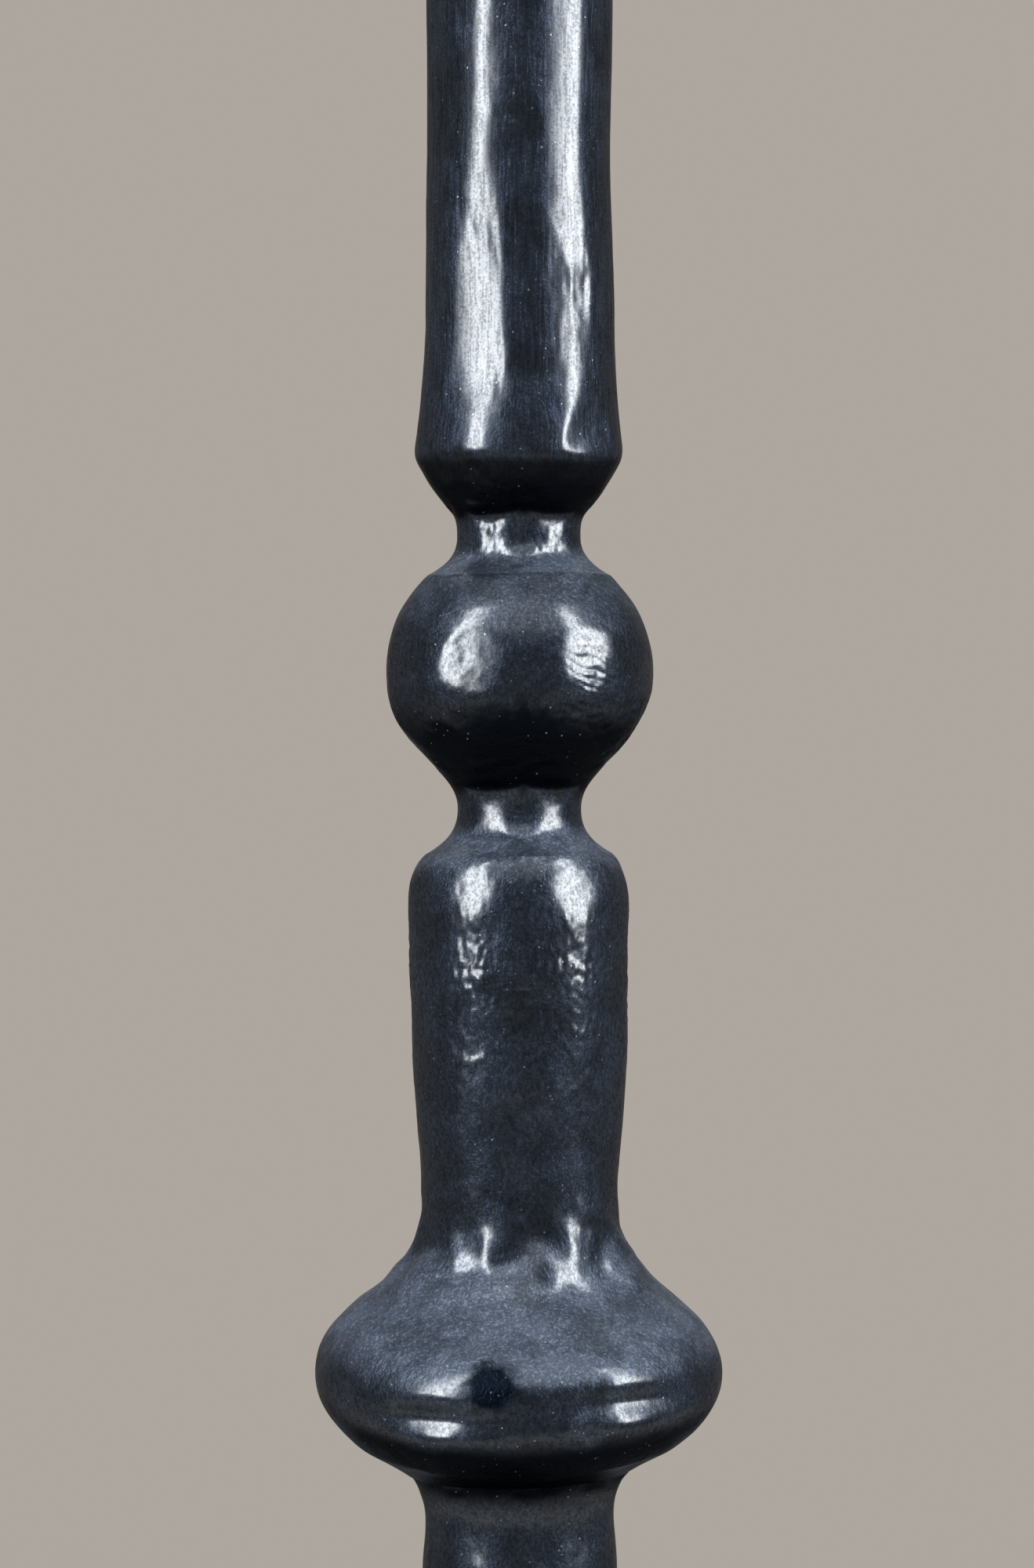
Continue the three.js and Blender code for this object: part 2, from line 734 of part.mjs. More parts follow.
function wireRing(alongSlant) {
  const [r, z] = onSlant(alongSlant, wireIn);
  const section = [];
  for (let i = 0; i < wireSides; i++) {
    const angle = (i * 2 * Math.PI) / wireSides;
    section.push(new THREE.Vector2(r + wireR * Math.cos(angle), z + wireR * Math.sin(angle)));
  }
  return turned(section, shadeSides);
}
add("bottom_wire", wireRing(wireUp), wireWhite, shadeZ);
add("top_wire", wireRing(slantL - wireUp), wireWhite, shadeZ);

// A cloth binding covers each end: up over the face on one side, and over the edge as far as the liner.
function binding(edge, side) {
  const hem = edge + side * bindingW;
  const fold = edge + side * bindingT;
  const outer = -seatGap - bindingT;
  const inner = layersT + seatGap;
  const outline = new Outline(...onSlant(hem, -seatGap))
    .line(onSlant(hem, outer), onSlant(edge, outer), onSlant(edge, inner))
    .line(onSlant(fold, inner), onSlant(fold, -seatGap));
  return turned(outline.points(1), shadeSides);
}
add("bottom_binding", binding(0, 1), linen, shadeZ);
add("top_binding", binding(slantL, -1), linen, shadeZ);

// Spider: a flat hub between the two shade rings, and wire arms down to the bottom wire
add("spider_hub", ring(hubR, hubBoreR, 0, hubT), wireWhite, hubZ);

function spiderArm(turn) {
  const [wireAtR, wireAtZ] = onSlant(wireUp, wireIn);
  const inner = new THREE.Vector3(hubR + seatGap + armR / 2, 0, hubZ + hubT / 2);
  const outer = new THREE.Vector3(wireAtR - wireR - seatGap - armR / 2, 0, shadeZ + wireAtZ);
  const along = outer.clone().sub(inner);
  const arm = new THREE.CylinderGeometry(armR, armR, along.length(), armSides);
  const upright = new THREE.Vector3(0, 1, 0);
  arm.applyQuaternion(new THREE.Quaternion().setFromUnitVectors(upright, along.normalize()));
  arm.translate(...inner.clone().add(outer).multiplyScalar(0.5).toArray());
  return arm.rotateZ(turn);
}
for (let i = 0; i < armCount; i++) {
  const turn = -Math.PI / 2 + (i * 2 * Math.PI) / armCount;
  add(`spider_arm_${i + 1}`, spiderArm(turn), wireWhite);
}

export default lamp;
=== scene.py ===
# A floor lamp of black-waxed iron with a linen shade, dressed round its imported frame. Metres, +Z up, with
# the lamp's foot on the floor at the origin and its front towards -Y.

import math

import bmesh
import bpy
import numpy as np
from mathutils import Euler, Matrix, Vector, noise
from mathutils.geometry import interpolate_bezier


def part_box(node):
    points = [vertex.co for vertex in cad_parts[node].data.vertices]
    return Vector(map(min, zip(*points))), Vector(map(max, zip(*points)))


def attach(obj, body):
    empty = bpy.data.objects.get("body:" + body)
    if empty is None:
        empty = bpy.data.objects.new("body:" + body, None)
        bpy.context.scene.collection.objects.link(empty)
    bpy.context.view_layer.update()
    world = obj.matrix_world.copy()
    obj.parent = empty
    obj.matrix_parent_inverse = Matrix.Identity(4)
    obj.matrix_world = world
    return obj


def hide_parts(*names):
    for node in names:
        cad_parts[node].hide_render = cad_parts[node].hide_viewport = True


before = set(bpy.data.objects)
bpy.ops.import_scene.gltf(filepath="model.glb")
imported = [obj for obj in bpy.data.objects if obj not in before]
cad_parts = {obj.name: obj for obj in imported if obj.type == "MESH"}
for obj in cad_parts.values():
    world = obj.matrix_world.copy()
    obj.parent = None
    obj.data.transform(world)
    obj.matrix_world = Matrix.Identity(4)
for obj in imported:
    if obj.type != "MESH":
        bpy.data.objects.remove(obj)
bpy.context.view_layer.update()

# Camera. The lens stands three quarters of a metre in front of the stem, a little above the ball, and sees
# a quarter of a metre of the stem, of which one millimetre is eight rows of the picture.
mm = 0.001
picture_size = (1319, 2000)
rows_per_mm = 8
knop_foot_row = 1880
horizon_row = 890
stem_column = 662
view_distance = 776 * mm
sensor_height = 24


def height_of(row):
    """The height at the stem's axis that a row of the picture shows."""
    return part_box("knop_sleeve")[0].z + (knop_foot_row - row) / rows_per_mm * mm


camera = bpy.data.objects.new("camera", bpy.data.cameras.new("camera"))
camera.data.sensor_fit = "VERTICAL"
camera.data.sensor_height = sensor_height
camera.data.lens = sensor_height * view_distance / (picture_size[1] / rows_per_mm * mm)
aside = (picture_size[0] / 2 - stem_column) / rows_per_mm * mm
camera.location = (aside, -view_distance, height_of(horizon_row))
gaze = Vector((aside, 0, height_of(picture_size[1] / 2))) - camera.location
camera.rotation_euler = gaze.to_track_quat("-Z", "Y").to_euler()
bpy.context.scene.collection.objects.link(camera)
bpy.context.scene.camera = camera
bpy.context.scene.view_settings.view_transform = "Standard"


# Room. A pale round floor that fades into a plain surround, which is pale and warm behind the lamp and cooler
# and dimmer in front of it. Two upright soft lamps stand like windows in front of the stem, left and right,
# with their sills at the camera's height, and two wide soft boxes hang above the camera and behind the lamp.
class Number:
    """An output of a node. Sums on it add Math nodes to its recipe, and [name] picks another output."""

    def __init__(self, recipe, node, output=0):
        self.recipe = recipe
        self.node = node
        self.socket = node.outputs[output]

    def __getitem__(self, output):
        return Number(self.recipe, self.node, output)

    def math(self, operation, *terms):
        return self.recipe.node("Math", {"operation": operation}, dict(enumerate(terms)))

    def __add__(self, other):
        return self.math("ADD", self, other)

    def __sub__(self, other):
        return self.math("SUBTRACT", self, other)

    def __rsub__(self, other):
        return self.math("SUBTRACT", other, self)

    def __mul__(self, other):
        return self.math("MULTIPLY", self, other)

    __radd__ = __add__
    __rmul__ = __mul__


class Recipe:
    """A tree of nodes, which node() adds to and feed() fills or links."""

    def __init__(self, owner):
        owner.use_nodes = True
        self.tree = owner.node_tree

    def feed(self, node, inputs):
        for name, value in inputs.items():
            if isinstance(value, Number):
                self.tree.links.new(value.socket, node.inputs[name])
            else:
                node.inputs[name].default_value = value

    def node(self, kind, settings=None, inputs=None):
        made = self.tree.nodes.new("ShaderNode" + kind)
        for name, value in (settings or {}).items():
            setattr(made, name, value)
        self.feed(made, inputs or {})
        return Number(self, made)

    def ease(self, value, low, high):
        """0 below low, 1 above high, and smooth between."""
        inputs = {"Value": value, "From Min": low, "From Max": high}
        return self.node("MapRange", {"interpolation_type": "SMOOTHSTEP"}, inputs)

    def blend(self, share, colour, other):
        """A colour that turns from one into another as share goes from 0 to 1."""
        return self.node("Mix", {"data_type": "RGBA"}, {0: share, 6: colour, 7: other})[2]


class Finish(Recipe):
    """The recipe of a material on one principled shader, with the settings that are the same all over."""

    def __init__(self, name, settings):
        self.material = bpy.data.materials.new(name)
        super().__init__(self.material)
        self.shader = self.tree.nodes["Principled BSDF"]
        self.feed(self.shader, settings)

    def place(self, stretch=(1, 1, 1)):
        """Object coordinates, squeezed along each axis by a factor."""
        at = self.node("TexCoord")["Object"]
        return self.node("VectorMath", {"operation": "MULTIPLY"}, {0: at, 1: stretch})

    def cloud(self, size, stretch=(1, 1, 1), detail=2, wander=0, rough=0.5):
        """Noise from 0 to 1 whose lumps are about size across, and longer where stretch is under 1."""
        inputs = {"Vector": self.place(stretch), "Scale": 1 / size, "Detail": detail, "Distortion": wander}
        return self.node("TexNoise", inputs={**inputs, "Roughness": rough})

    def coat(self, **inputs):
        """Feeds the shader, with a name's underscore read as a space and relief, in metres, as a bump."""
        relief = inputs.pop("relief", None)
        if relief:
            inputs["Normal"] = self.node("Bump", inputs={"Height": relief, "Distance": 1})
        self.feed(self.shader, {name.replace("_", " "): value for name, value in inputs.items()})
        return self.material


def floor_finish():
    floor = Finish("pale_floor", {"Roughness": 0.8, "Specular IOR Level": 0.1})
    tone = floor.ease(floor.cloud(60 * mm, detail=4), 0.3, 0.7)
    away = floor.node("VectorMath", {"operation": "LENGTH"}, {0: floor.place()})["Value"]
    return floor.coat(
        Base_Color=floor.blend(tone, (0.485, 0.485, 0.48, 1), (0.515, 0.515, 0.51, 1)),
        Alpha=1 - floor.ease(away, 1.2, floor_radius),
    )


def add_piece(name, bm, finish, sharp_angle=40):
    """Makes an object of a bmesh, smooth but for edges sharper than an angle."""
    mesh = bpy.data.meshes.new(name)
    bm.to_mesh(mesh)
    bm.free()
    mesh.shade_smooth()
    mesh.set_sharp_from_angle(angle=math.radians(sharp_angle))
    mesh.materials.append(finish)
    piece = bpy.data.objects.new(name, mesh)
    bpy.context.scene.collection.objects.link(piece)
    return piece


floor_radius = 3.3
bm = bmesh.new()
bmesh.ops.create_circle(bm, cap_ends=True, radius=floor_radius, segments=128)
add_piece("floor", bm, floor_finish())

surround = bpy.data.worlds.new("surround")
bpy.context.scene.world = surround
sky = Recipe(surround)
behind = sky.node("SeparateXYZ", inputs={"Vector": sky.node("TexCoord")["Generated"]})["Y"]
backdrop = sky.blend(sky.ease(behind, 0.7, 0.985), (0.215, 0.237, 0.268, 1), (0.42, 0.385, 0.345, 1))
rays = sky.node("LightPath")
shows = rays["Is Camera Ray"] + rays["Is Glossy Ray"] + rays["Is Transmission Ray"]
sky.feed(sky.tree.nodes["Background"], {"Color": sky.blend(shows, (0.4, 0.4, 0.4, 1), backdrop)})


def soft_lamp(name, azimuth, distance, low, high, width, radiance, colour=(0.93, 0.97, 1)):
    """An upright soft lamp between two heights, its azimuth in degrees to the right of the camera's side."""
    turn = math.radians(azimuth)
    lamp = bpy.data.lights.new(name, "AREA")
    lamp.shape = "RECTANGLE"
    lamp.size = width
    lamp.size_y = high - low
    lamp.energy = radiance * math.pi * width * (high - low)
    lamp.color = colour
    holder = bpy.data.objects.new(name, lamp)
    holder.location = (distance * math.sin(turn), -distance * math.cos(turn), (low + high) / 2)
    holder.rotation_euler = (math.pi / 2, 0, turn)
    bpy.context.scene.collection.objects.link(holder)
    return holder


sill = height_of(horizon_row) + 0.02
soft_lamp("left_window", azimuth=-50, distance=2, low=sill, high=sill + 2.9, width=0.42, radiance=20)
soft_lamp("right_window", azimuth=66, distance=2, low=sill, high=sill + 2.9, width=0.42, radiance=20)
for name, azimuth, radiance in (("front_soft_box", 0, 1.1), ("back_soft_box", 180, 0.9)):
    box = soft_lamp(name, azimuth, distance=1.35, low=1.9, high=3.5, width=2.4, radiance=radiance)
    box.rotation_euler.x = math.radians(36)


# Felt pad. A disc of dark wool felt under the foot, glued on, so that the iron doesn't mark a floor. Its cut
# rim is a little uneven, and loose fibres cross its face.
class Outline:
    """The outline of a turned piece: radius and height, in steps of a set length where it curves.
    curve() leaves and arrives in given directions, in degrees turned from straight out to straight up."""

    def __init__(self, radius, height, step=0.5 * mm):
        self.points = [Vector((radius, 0, height))]
        self.step = step

    def edge(self, radius, height):
        self.points.append(Vector((radius, 0, height)))
        return self

    def curve(self, radius, height, leave, arrive, fullness=0.39):
        start = self.points[-1]
        end = Vector((radius, 0, height))
        chord = (end - start).length
        leaving = Vector((math.cos(math.radians(leave)), 0, math.sin(math.radians(leave))))
        arriving = Vector((math.cos(math.radians(arrive)), 0, math.sin(math.radians(arrive))))
        handles = start + leaving * chord * fullness, end - arriving * chord * fullness
        count = max(3, round(chord * 1.1 / self.step))
        self.points += interpolate_bezier(start, *handles, end, count + 1)[1:]
        return self

    def line(self, radius, height):
        start = self.points[-1]
        end = Vector((radius, 0, height))
        count = max(1, round((end - start).length / self.step))
        self.points += [start.lerp(end, (i + 1) / count) for i in range(count)]
        return self


def turned(name, outline, sides, finish, closed=True):
    """Spins an outline about the stem's axis: an arc of it first, and then the arc's copies, which is ten
    times as fast. A closed outline joins its last point to its first."""
    arcs = 16
    bm = bmesh.new()
    corners = [bm.verts.new(point) for point in outline.points]
    ends = corners[1:] + corners[:1] if closed else corners[1:]
    edges = [bm.edges.new(pair) for pair in zip(corners, ends)]
    turn = dict(cent=(0, 0, 0), axis=(0, 0, 1))
    arc = 2 * math.pi / arcs
    bmesh.ops.spin(bm, geom=corners + edges, angle=arc, steps=sides // arcs, **turn)
    whole = bm.verts[:] + bm.edges[:] + bm.faces[:]
    copies = arcs - 1
    bmesh.ops.spin(bm, geom=whole, angle=arc * copies, steps=copies, use_duplicate=True, **turn)
    bmesh.ops.remove_doubles(bm, verts=bm.verts, dist=0.001 * mm)
    bmesh.ops.recalc_face_normals(bm, faces=bm.faces)
    return add_piece(name, bm, finish)


def read_points(mesh, kind):
    """A mesh's places or normals as rows of three numbers."""
    values = np.empty(len(mesh.vertices) * 3)
    mesh.vertices.foreach_get(kind, values)
    return values.reshape(-1, 3)


def write_points(mesh, places):
    mesh.vertices.foreach_set("co", places.ravel())
    mesh.update()


def roughen(piece, size, depth, clear=0, middle=0, reach=math.inf):
    """Moves the skin in and out by smooth noise with lumps size across, most at the middle's height and hardly
    past its reach, but leaves what lies within a clear radius of the stem's axis."""
    places = read_points(piece.data, "co")
    normals = read_points(piece.data, "normal")
    swell = np.array([noise.noise(place) for place in places / size])
    swell *= np.exp(-((places[:, 2] - middle) / reach) ** 2)
    outside = np.hypot(places[:, 0], places[:, 1]) > clear
    write_points(piece.data, places + normals * (swell * depth * outside)[:, None])


def fit(piece, node, body="stand"):
    """Hangs a piece on a body in place of a node, and hides the node."""
    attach(piece, body)
    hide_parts(node)


def wool_felt():
    felt = Finish("felt", {"Roughness": 1, "Specular IOR Level": 0.2, "Sheen Weight": 0.3})
    fibres = felt.cloud(0.5 * mm, (1, 0.25, 1), 3) + felt.cloud(0.5 * mm, (0.25, 1, 1), 3)
    tufts = felt.cloud(6 * mm, detail=3)
    shade = felt.ease(fibres * 0.5 + tufts * 0.3, 0.3, 0.6)
    return felt.coat(
        Base_Color=felt.blend(shade, (0.012, 0.02, 0.015, 1), (0.04, 0.06, 0.047, 1)),
        relief=fibres * 0.3 * mm,
    )


low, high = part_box("felt_pad")
radius = high.x
outline = Outline(0, low.z, 3 * mm).line(radius - 0.6 * mm, low.z).curve(radius, high.z - 0.9 * mm, 0, 90)
outline.curve(radius - 0.8 * mm, high.z, 90, 180).line(0, high.z)
felt = turned("felt_pad_cut", outline, 256, wool_felt())
roughen(felt, 3 * mm, 0.25 * mm, clear=radius - 5 * mm)
fit(felt, "felt_pad")


# Foot. A heavy ogee of black-waxed iron, hollow underneath round its ballast plate, with a hole in the back
# of its rim for the cord's bush. It stands on the plate, and was planished all over with a round hammer.
def black_iron(name, stroke_stretch, patch_size=8 * mm, painted_sheen_share=1):
    """Black iron under wax, which shines most where it is thick and is left off the faces turned down, whose
    darker colour is painted shade. Strokes, grain and pits break the iron up, a painted grey sheen of the light
    from above lies where it faces up, but not where a thumb wiped the wax off, and dust lies on all of it."""
    iron = Finish(name, {"Coat Roughness": 0.2, "Coat IOR": 1.65, "Specular Tint": (0.3, 0.31, 0.35, 1)})
    facing = iron.node("NewGeometry")["Normal"]
    upwards = iron.node("SeparateXYZ", inputs={"Vector": facing})["Z"]
    patches = iron.ease(iron.cloud(patch_size, detail=6, wander=0.7, rough=0.68), 0.36, 0.64)
    strokes = iron.cloud(0.55 * mm, (1, 1, stroke_stretch), 3, wander=0.6)
    grain = iron.cloud(0.4 * mm)
    pits = iron.cloud(2.2 * mm, detail=3)
    fine = grain * 0.5 + strokes * 0.5
    mottle = iron.ease(fine, 0.47, 0.67)
    shine = iron.ease(fine, 0.36, 0.58)
    aslant = iron.ease(iron.node("LayerWeight")["Facing"], 0.4, 0.9)
    kept = 1
    for azimuth, radius, height, size in wiped_spots:
        turn = math.radians(azimuth)
        middle = Vector((radius * math.sin(turn), -radius * math.cos(turn), knop_foot + height))
        away = iron.node("VectorMath", {"operation": "DISTANCE"}, {0: iron.place(), 1: middle})["Value"]
        kept = kept * iron.ease(away + pits * 0.9 * size, size * 1.05, size * 1.75)
    # Painted sheen: faces that turn up are painted a lighter, less metallic grey, as if lit from above.
    painted_top_sheen = iron.ease(upwards, 0.1, 0.7) * (0.6 + 0.4 * patches) * kept * painted_sheen_share
    # Painted shade: faces that turn down get a darker colour, no haze and no wax.
    outside_painted_under_shade = iron.ease(upwards, -0.6, -0.05)
    specks = iron.node("TexVoronoi", inputs={"Vector": iron.place(), "Scale": 1 / (1.6 * mm)})
    dust = (1 - iron.ease(specks, 0.05, 0.12)) * iron.ease(pits, 0.42, 0.6)
    # The darker of these two blacks is the painted shade under faces turned down.
    dark = iron.blend(outside_painted_under_shade, (0.003, 0.004, 0.006, 1), (0.004, 0.0065, 0.012, 1))
    haze = (0.3 + 0.7 * mottle) * patches * outside_painted_under_shade * kept
    black = iron.blend(haze, dark, (0.032, 0.043, 0.068, 1))
    black_under_painted_sheen = iron.blend(painted_top_sheen * (0.4 + 0.6 * mottle), black, (0.15, 0.178, 0.235, 1))
    return iron.coat(
        Base_Color=iron.blend(dust * 0.7, black_under_painted_sheen, (0.35, 0.36, 0.38, 1)),
        Metallic=0.9 - 0.5 * painted_top_sheen,
        Roughness=0.32 + 0.1 * patches + 0.08 * painted_top_sheen,
        Coat_Weight=outside_painted_under_shade * kept * (0.45 + 0.55 * shine) * (1 - 0.75 * painted_top_sheen) * (1 - 0.85 * aslant),
        relief=(grain * (0.04 + 0.08 * patches) + strokes * 0.12 + pits * 0.2) * mm,
    )


def planish(piece, size, depth, stretch=1, clear=0):
    """Covers the skin with shallow hammer marks, size across and stretch times as long, whose middles lie
    lower than the soft ridges between them. They die out at the piece's ends."""
    places = read_points(piece.data, "co")
    normals = read_points(piece.data, "normal")
    heights = places[:, 2]
    marks = places / size / (1, 1, stretch)
    near = np.array([noise.voronoi(mark, distance_metric="DISTANCE_SQUARED")[0] for mark in marks])
    ridge = -0.12 * np.log(np.exp(-near / 0.12).sum(axis=1))
    ends = np.clip(np.minimum(heights - heights.min(), heights.max() - heights) / (3 * mm), 0, 1)
    outside = np.hypot(places[:, 0], places[:, 1]) > clear
    write_points(piece.data, places + normals * ((ridge - 0.2) * depth * ends * outside)[:, None])


def drill(piece, radius, start, end):
    """Cuts a round hole through a piece, between two points."""
    way = end - start
    bm = bmesh.new()
    bit = dict(cap_ends=True, segments=48, radius1=radius, radius2=radius, depth=way.length)
    bmesh.ops.create_cone(bm, **bit)
    aim = way.to_track_quat("Z", "Y").to_matrix().to_4x4()
    bm.transform(Matrix.Translation((start + end) / 2) @ aim)
    cutter = add_piece("drill", bm, None)
    hole = piece.modifiers.new("hole", "BOOLEAN")
    hole.object = cutter
    hole.solver = "EXACT"
    bpy.context.view_layer.update()
    drilled = bpy.data.meshes.new_from_object(piece.evaluated_get(bpy.context.evaluated_depsgraph_get()))
    piece.modifiers.clear()
    piece.data = drilled
    bpy.data.objects.remove(cutter)


bore_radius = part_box("tie_tube")[1].x + 0.4 * mm
up = 90
inwards = 180
down = 270
knop_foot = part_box("knop_sleeve")[0].z
wiped_spots = (
    (-8, 31 * mm, 18 * mm, 4.3 * mm),
    (0, 17 * mm, 116 * mm, 8 * mm),
)
beaten_iron = black_iron("black_iron", 0.6)
drawn_iron = black_iron("drawn_black_iron", 0.08)
# The foot's iron has broad patches and only a little of the painted sheen from above, the ball's somewhat less
# than the rest.
broad_iron = black_iron("broad_black_iron", 0.6, 30 * mm, painted_sheen_share=0.35)
iron_with_less_painted_sheen = black_iron("black_iron_with_less_painted_sheen", 0.6, painted_sheen_share=0.55)
low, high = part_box("foot")
plate_low, plate_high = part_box("ballast_plate")
ledge = plate_high.z + 0.3 * mm
well_radius = plate_high.x + 0.3 * mm
outline = Outline(bore_radius, ledge, 4 * mm).edge(17 * mm, ledge).edge(17 * mm, low.z + 41 * mm)
outline.line(112 * mm, low.z + 26 * mm).edge(117 * mm, ledge).edge(well_radius, ledge)
outline.edge(well_radius, low.z + 0.5 * mm).edge(well_radius + 0.5 * mm, low.z).line(139 * mm, low.z)
outline.step = 1.3 * mm
outline.curve(145 * mm, low.z + 14 * mm, 0, up).curve(112 * mm, low.z + 34 * mm, up, 172)
outline.curve(19.6 * mm, high.z - 0.4 * mm, 172, 95).edge(19 * mm, high.z).edge(bore_radius, high.z)
foot = turned("planished_foot", outline, 432, broad_iron)
planish(foot, 11 * mm, 1.1 * mm, clear=22 * mm)
roughen(foot, 25 * mm, 0.6 * mm, clear=18 * mm)
bush_low, bush_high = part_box("cord_bush")
bush_rise = (bush_low.z + bush_high.z) / 2
drill(foot, 6.3 * mm, Vector((0, 118 * mm, bush_rise)), Vector((0, 150 * mm, bush_rise)))
fit(foot, "foot")


# Cord bush. A moulded black bush, pushed into the foot's rim from behind, with a rounded flange and mouth.
# No cord is in it, because the lamp is shown without its cord.
def black_moulding(name):
    """Black phenolic: a dark brown-black with fine flow lines and a soft gloss."""
    moulding = Finish(name, {"Specular IOR Level": 0.5})
    flow = moulding.ease(moulding.cloud(3 * mm, (1, 1, 3), 4), 0.35, 0.65)
    grain = moulding.cloud(0.25 * mm)
    return moulding.coat(
        Base_Color=moulding.blend(flow, (0.008, 0.007, 0.006, 1), (0.02, 0.017, 0.014, 1)),
        Roughness=0.3 + 0.15 * flow,
        relief=(grain * 0.01 + flow * 0.01) * mm,
    )


black_plastic = black_moulding("black_plastic")
flange = 145.3 * mm
inner_end = bush_low.y
outline = Outline(3.8 * mm, inner_end).edge(6 * mm, inner_end).edge(6 * mm, flange).edge(8.3 * mm, flange)
outline.edge(8.5 * mm, flange + 0.2 * mm).line(8.5 * mm, flange + 0.9 * mm)
outline.curve(7.4 * mm, bush_high.y, up, inwards).line(4.9 * mm, bush_high.y)
outline.curve(3.8 * mm, bush_high.y - 1.1 * mm, inwards, down)
bush = turned("cord_bush_moulding", outline, 64, black_plastic)
bush.data.transform(Matrix.Translation((0, 0, bush_rise)) @ Matrix.Rotation(-math.pi / 2, 4, "X"))
fit(bush, "cord_bush")


# Tie tube, ballast and hardware. A steel plate weighs the foot down, and an M10 tube with a nut and a washer
# at each end clamps the stem. They are bare turned steel, oiled and a little stained.
def dress(finish, *nodes):
    """Puts a finish on nodes that keep their own shape."""
    for node in nodes:
        for slot in bpy.data.objects[node].material_slots:
            slot.material = finish


def turned_metal(name, bright, dull, smooth, rough):
    """Bare metal from the lathe, with fine tool lines and stained patches."""
    metal = Finish(name, {"Metallic": 1})
    stain = metal.ease(metal.cloud(6 * mm, detail=4), 0.4, 0.7)
    lines = metal.cloud(4 * mm, (1, 1, 25), 3)
    return metal.coat(
        Base_Color=metal.blend(stain, (*bright, 1), (*dull, 1)),
        Roughness=smooth + (rough - smooth) * stain,
        relief=(lines * 0.01 + stain * 0.01) * mm,
    )


steel = turned_metal("bare_steel", (0.5, 0.5, 0.51), (0.26, 0.25, 0.24), 0.3, 0.5)
dress(steel, "ballast_plate", "bottom_washer", "bottom_nut", "tie_tube", "top_washer", "top_nut")


# Lower column. A tapered tube whose ends are swaged in to the tie tube and flared to meet the foot and knop.
# It is drawn out under the hammer, which leaves long shallow flats.
def press(piece, marks):
    """Presses flat faces into the front of a piece. A mark is its azimuth, in degrees to the right of the front,
    its height, how many degrees it leans back, its depth at the middle, and half its height."""
    places = read_points(piece.data, "co")
    for azimuth, height, lean, depth, half_height in marks:
        aim = Vector((0, -1, 0))
        aim.rotate(Euler((-math.radians(lean), 0, math.radians(azimuth))))
        across = places @ Vector((aim.y, -aim.x, 0)).normalized()
        rise = places[:, 2] - height
        forth = places @ aim
        middle = forth[(abs(rise) < 1 * mm) & (abs(across) < 1 * mm)].max()
        proud = (forth - middle + depth) / (0.1 * mm)
        cut = np.logaddexp(0, proud) * 0.1 * mm * np.exp(-(rise / half_height) ** 6)
        places -= np.outer(0.75 * cut, aim)
    write_points(piece.data, places)


def dent(piece, marks):
    """Beats round hollows into the front of a piece. A mark is its azimuth and height, as in press(), half its
    width, half its height and its depth."""
    places = read_points(piece.data, "co")
    for azimuth, height, half_width, half_height, depth in marks:
        turn = math.radians(azimuth)
        outwards = Vector((math.sin(turn), -math.cos(turn), 0))
        across = places @ Vector((math.cos(turn), math.sin(turn), 0)) / half_width
        rise = (places[:, 2] - height) / half_height
        sunk = depth * np.exp(-across ** 2 - rise ** 2) * (places @ outwards > bore_radius + 2 * mm)
        places -= np.outer(sunk, outwards)
    write_points(piece.data, places)


def forge(piece, size, depth, stretch):
    """Gives a piece of the stem its own lumps of all sizes, stretch times as long as wide, and the waves and
    the drops of braze at its ends, both of which run on from piece to piece."""
    mesh = piece.data
    places = read_points(mesh, "co")
    radii = np.hypot(places[:, 0], places[:, 1])
    heights = places[:, 2]
    outside = radii > bore_radius + 1 * mm
    past_ends = np.minimum(heights - heights.min(), heights.max() - heights)
    lumps = np.array([noise.fractal(place, 0.8, 2, 4) for place in places / size / (1, 1, stretch)])
    rougher = np.array([noise.noise(place) for place in places / (14 * mm)])
    own = lumps * depth * np.clip(0.6 + 1.6 * rougher, 0.15, 2) * np.clip(past_ends / (3 * mm), 0, 1) * outside
    waves = np.array([noise.noise_vector(place) for place in places / (27 * mm)])
    drops = np.array([noise.noise(place) for place in places / (3.5 * mm)])
    braze = np.clip(drops + 0.05, 0, 1) * np.exp(-(past_ends / (1 * mm)) ** 2) * 0.7 * mm * outside
    places += read_points(mesh, "normal") * own[:, None]
    places[:, :2] *= (1 + braze / radii)[:, None]
    places += waves * (0.35 * mm, 0.35 * mm, 0.8 * mm) * outside[:, None]
    write_points(mesh, places)


low, high = (corner.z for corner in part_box("lower_column"))
outline = Outline(bore_radius, low, 1.6 * mm).edge(18.3 * mm, low)
outline.curve(15.6 * mm, low + 16 * mm, 110, up).line(15.5 * mm, high - 60 * mm)
outline.step = 0.6 * mm
outline.line(15.6 * mm, high - 16 * mm).curve(17.5 * mm, high, up, 52)
outline.edge(bore_radius, high)
column = turned("forged_column", outline, 208, beaten_iron)
planish(column, 12 * mm, 0.8 * mm, 2.5, clear=bore_radius + 1 * mm)
forge(column, 8 * mm, 0.2 * mm, 2)
fit(column, "lower_column")

# Knop and sleeve. One forging: a broad knop, a hollow throat above it and a sleeve with a rounded shoulder.
# Its rim dips a little in front, and has dents of a hammer's edge.
low, high = (corner.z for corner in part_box("knop_sleeve"))
outline = Outline(bore_radius, low).edge(17.5 * mm, low)
outline.curve(32.3 * mm, low + 15.6 * mm, 31, up, 0.34).curve(24.8 * mm, low + 28.4 * mm, up, 140)
outline.curve(15.7 * mm, low + 44 * mm, 140, up).curve(17.2 * mm, low + 70 * mm, up, up)
outline.line(17.4 * mm, low + 89 * mm).curve(14.8 * mm, high, up, 140, 0.3).edge(bore_radius, high)
knop = turned("forged_knop_and_sleeve", outline, 320, beaten_iron)
places = read_points(knop.data, "co")
radii = np.hypot(places[:, 0], places[:, 1])
rise = places[:, 2] - low
front = np.clip(-places[:, 1] / radii, 0, 1) ** 1.5
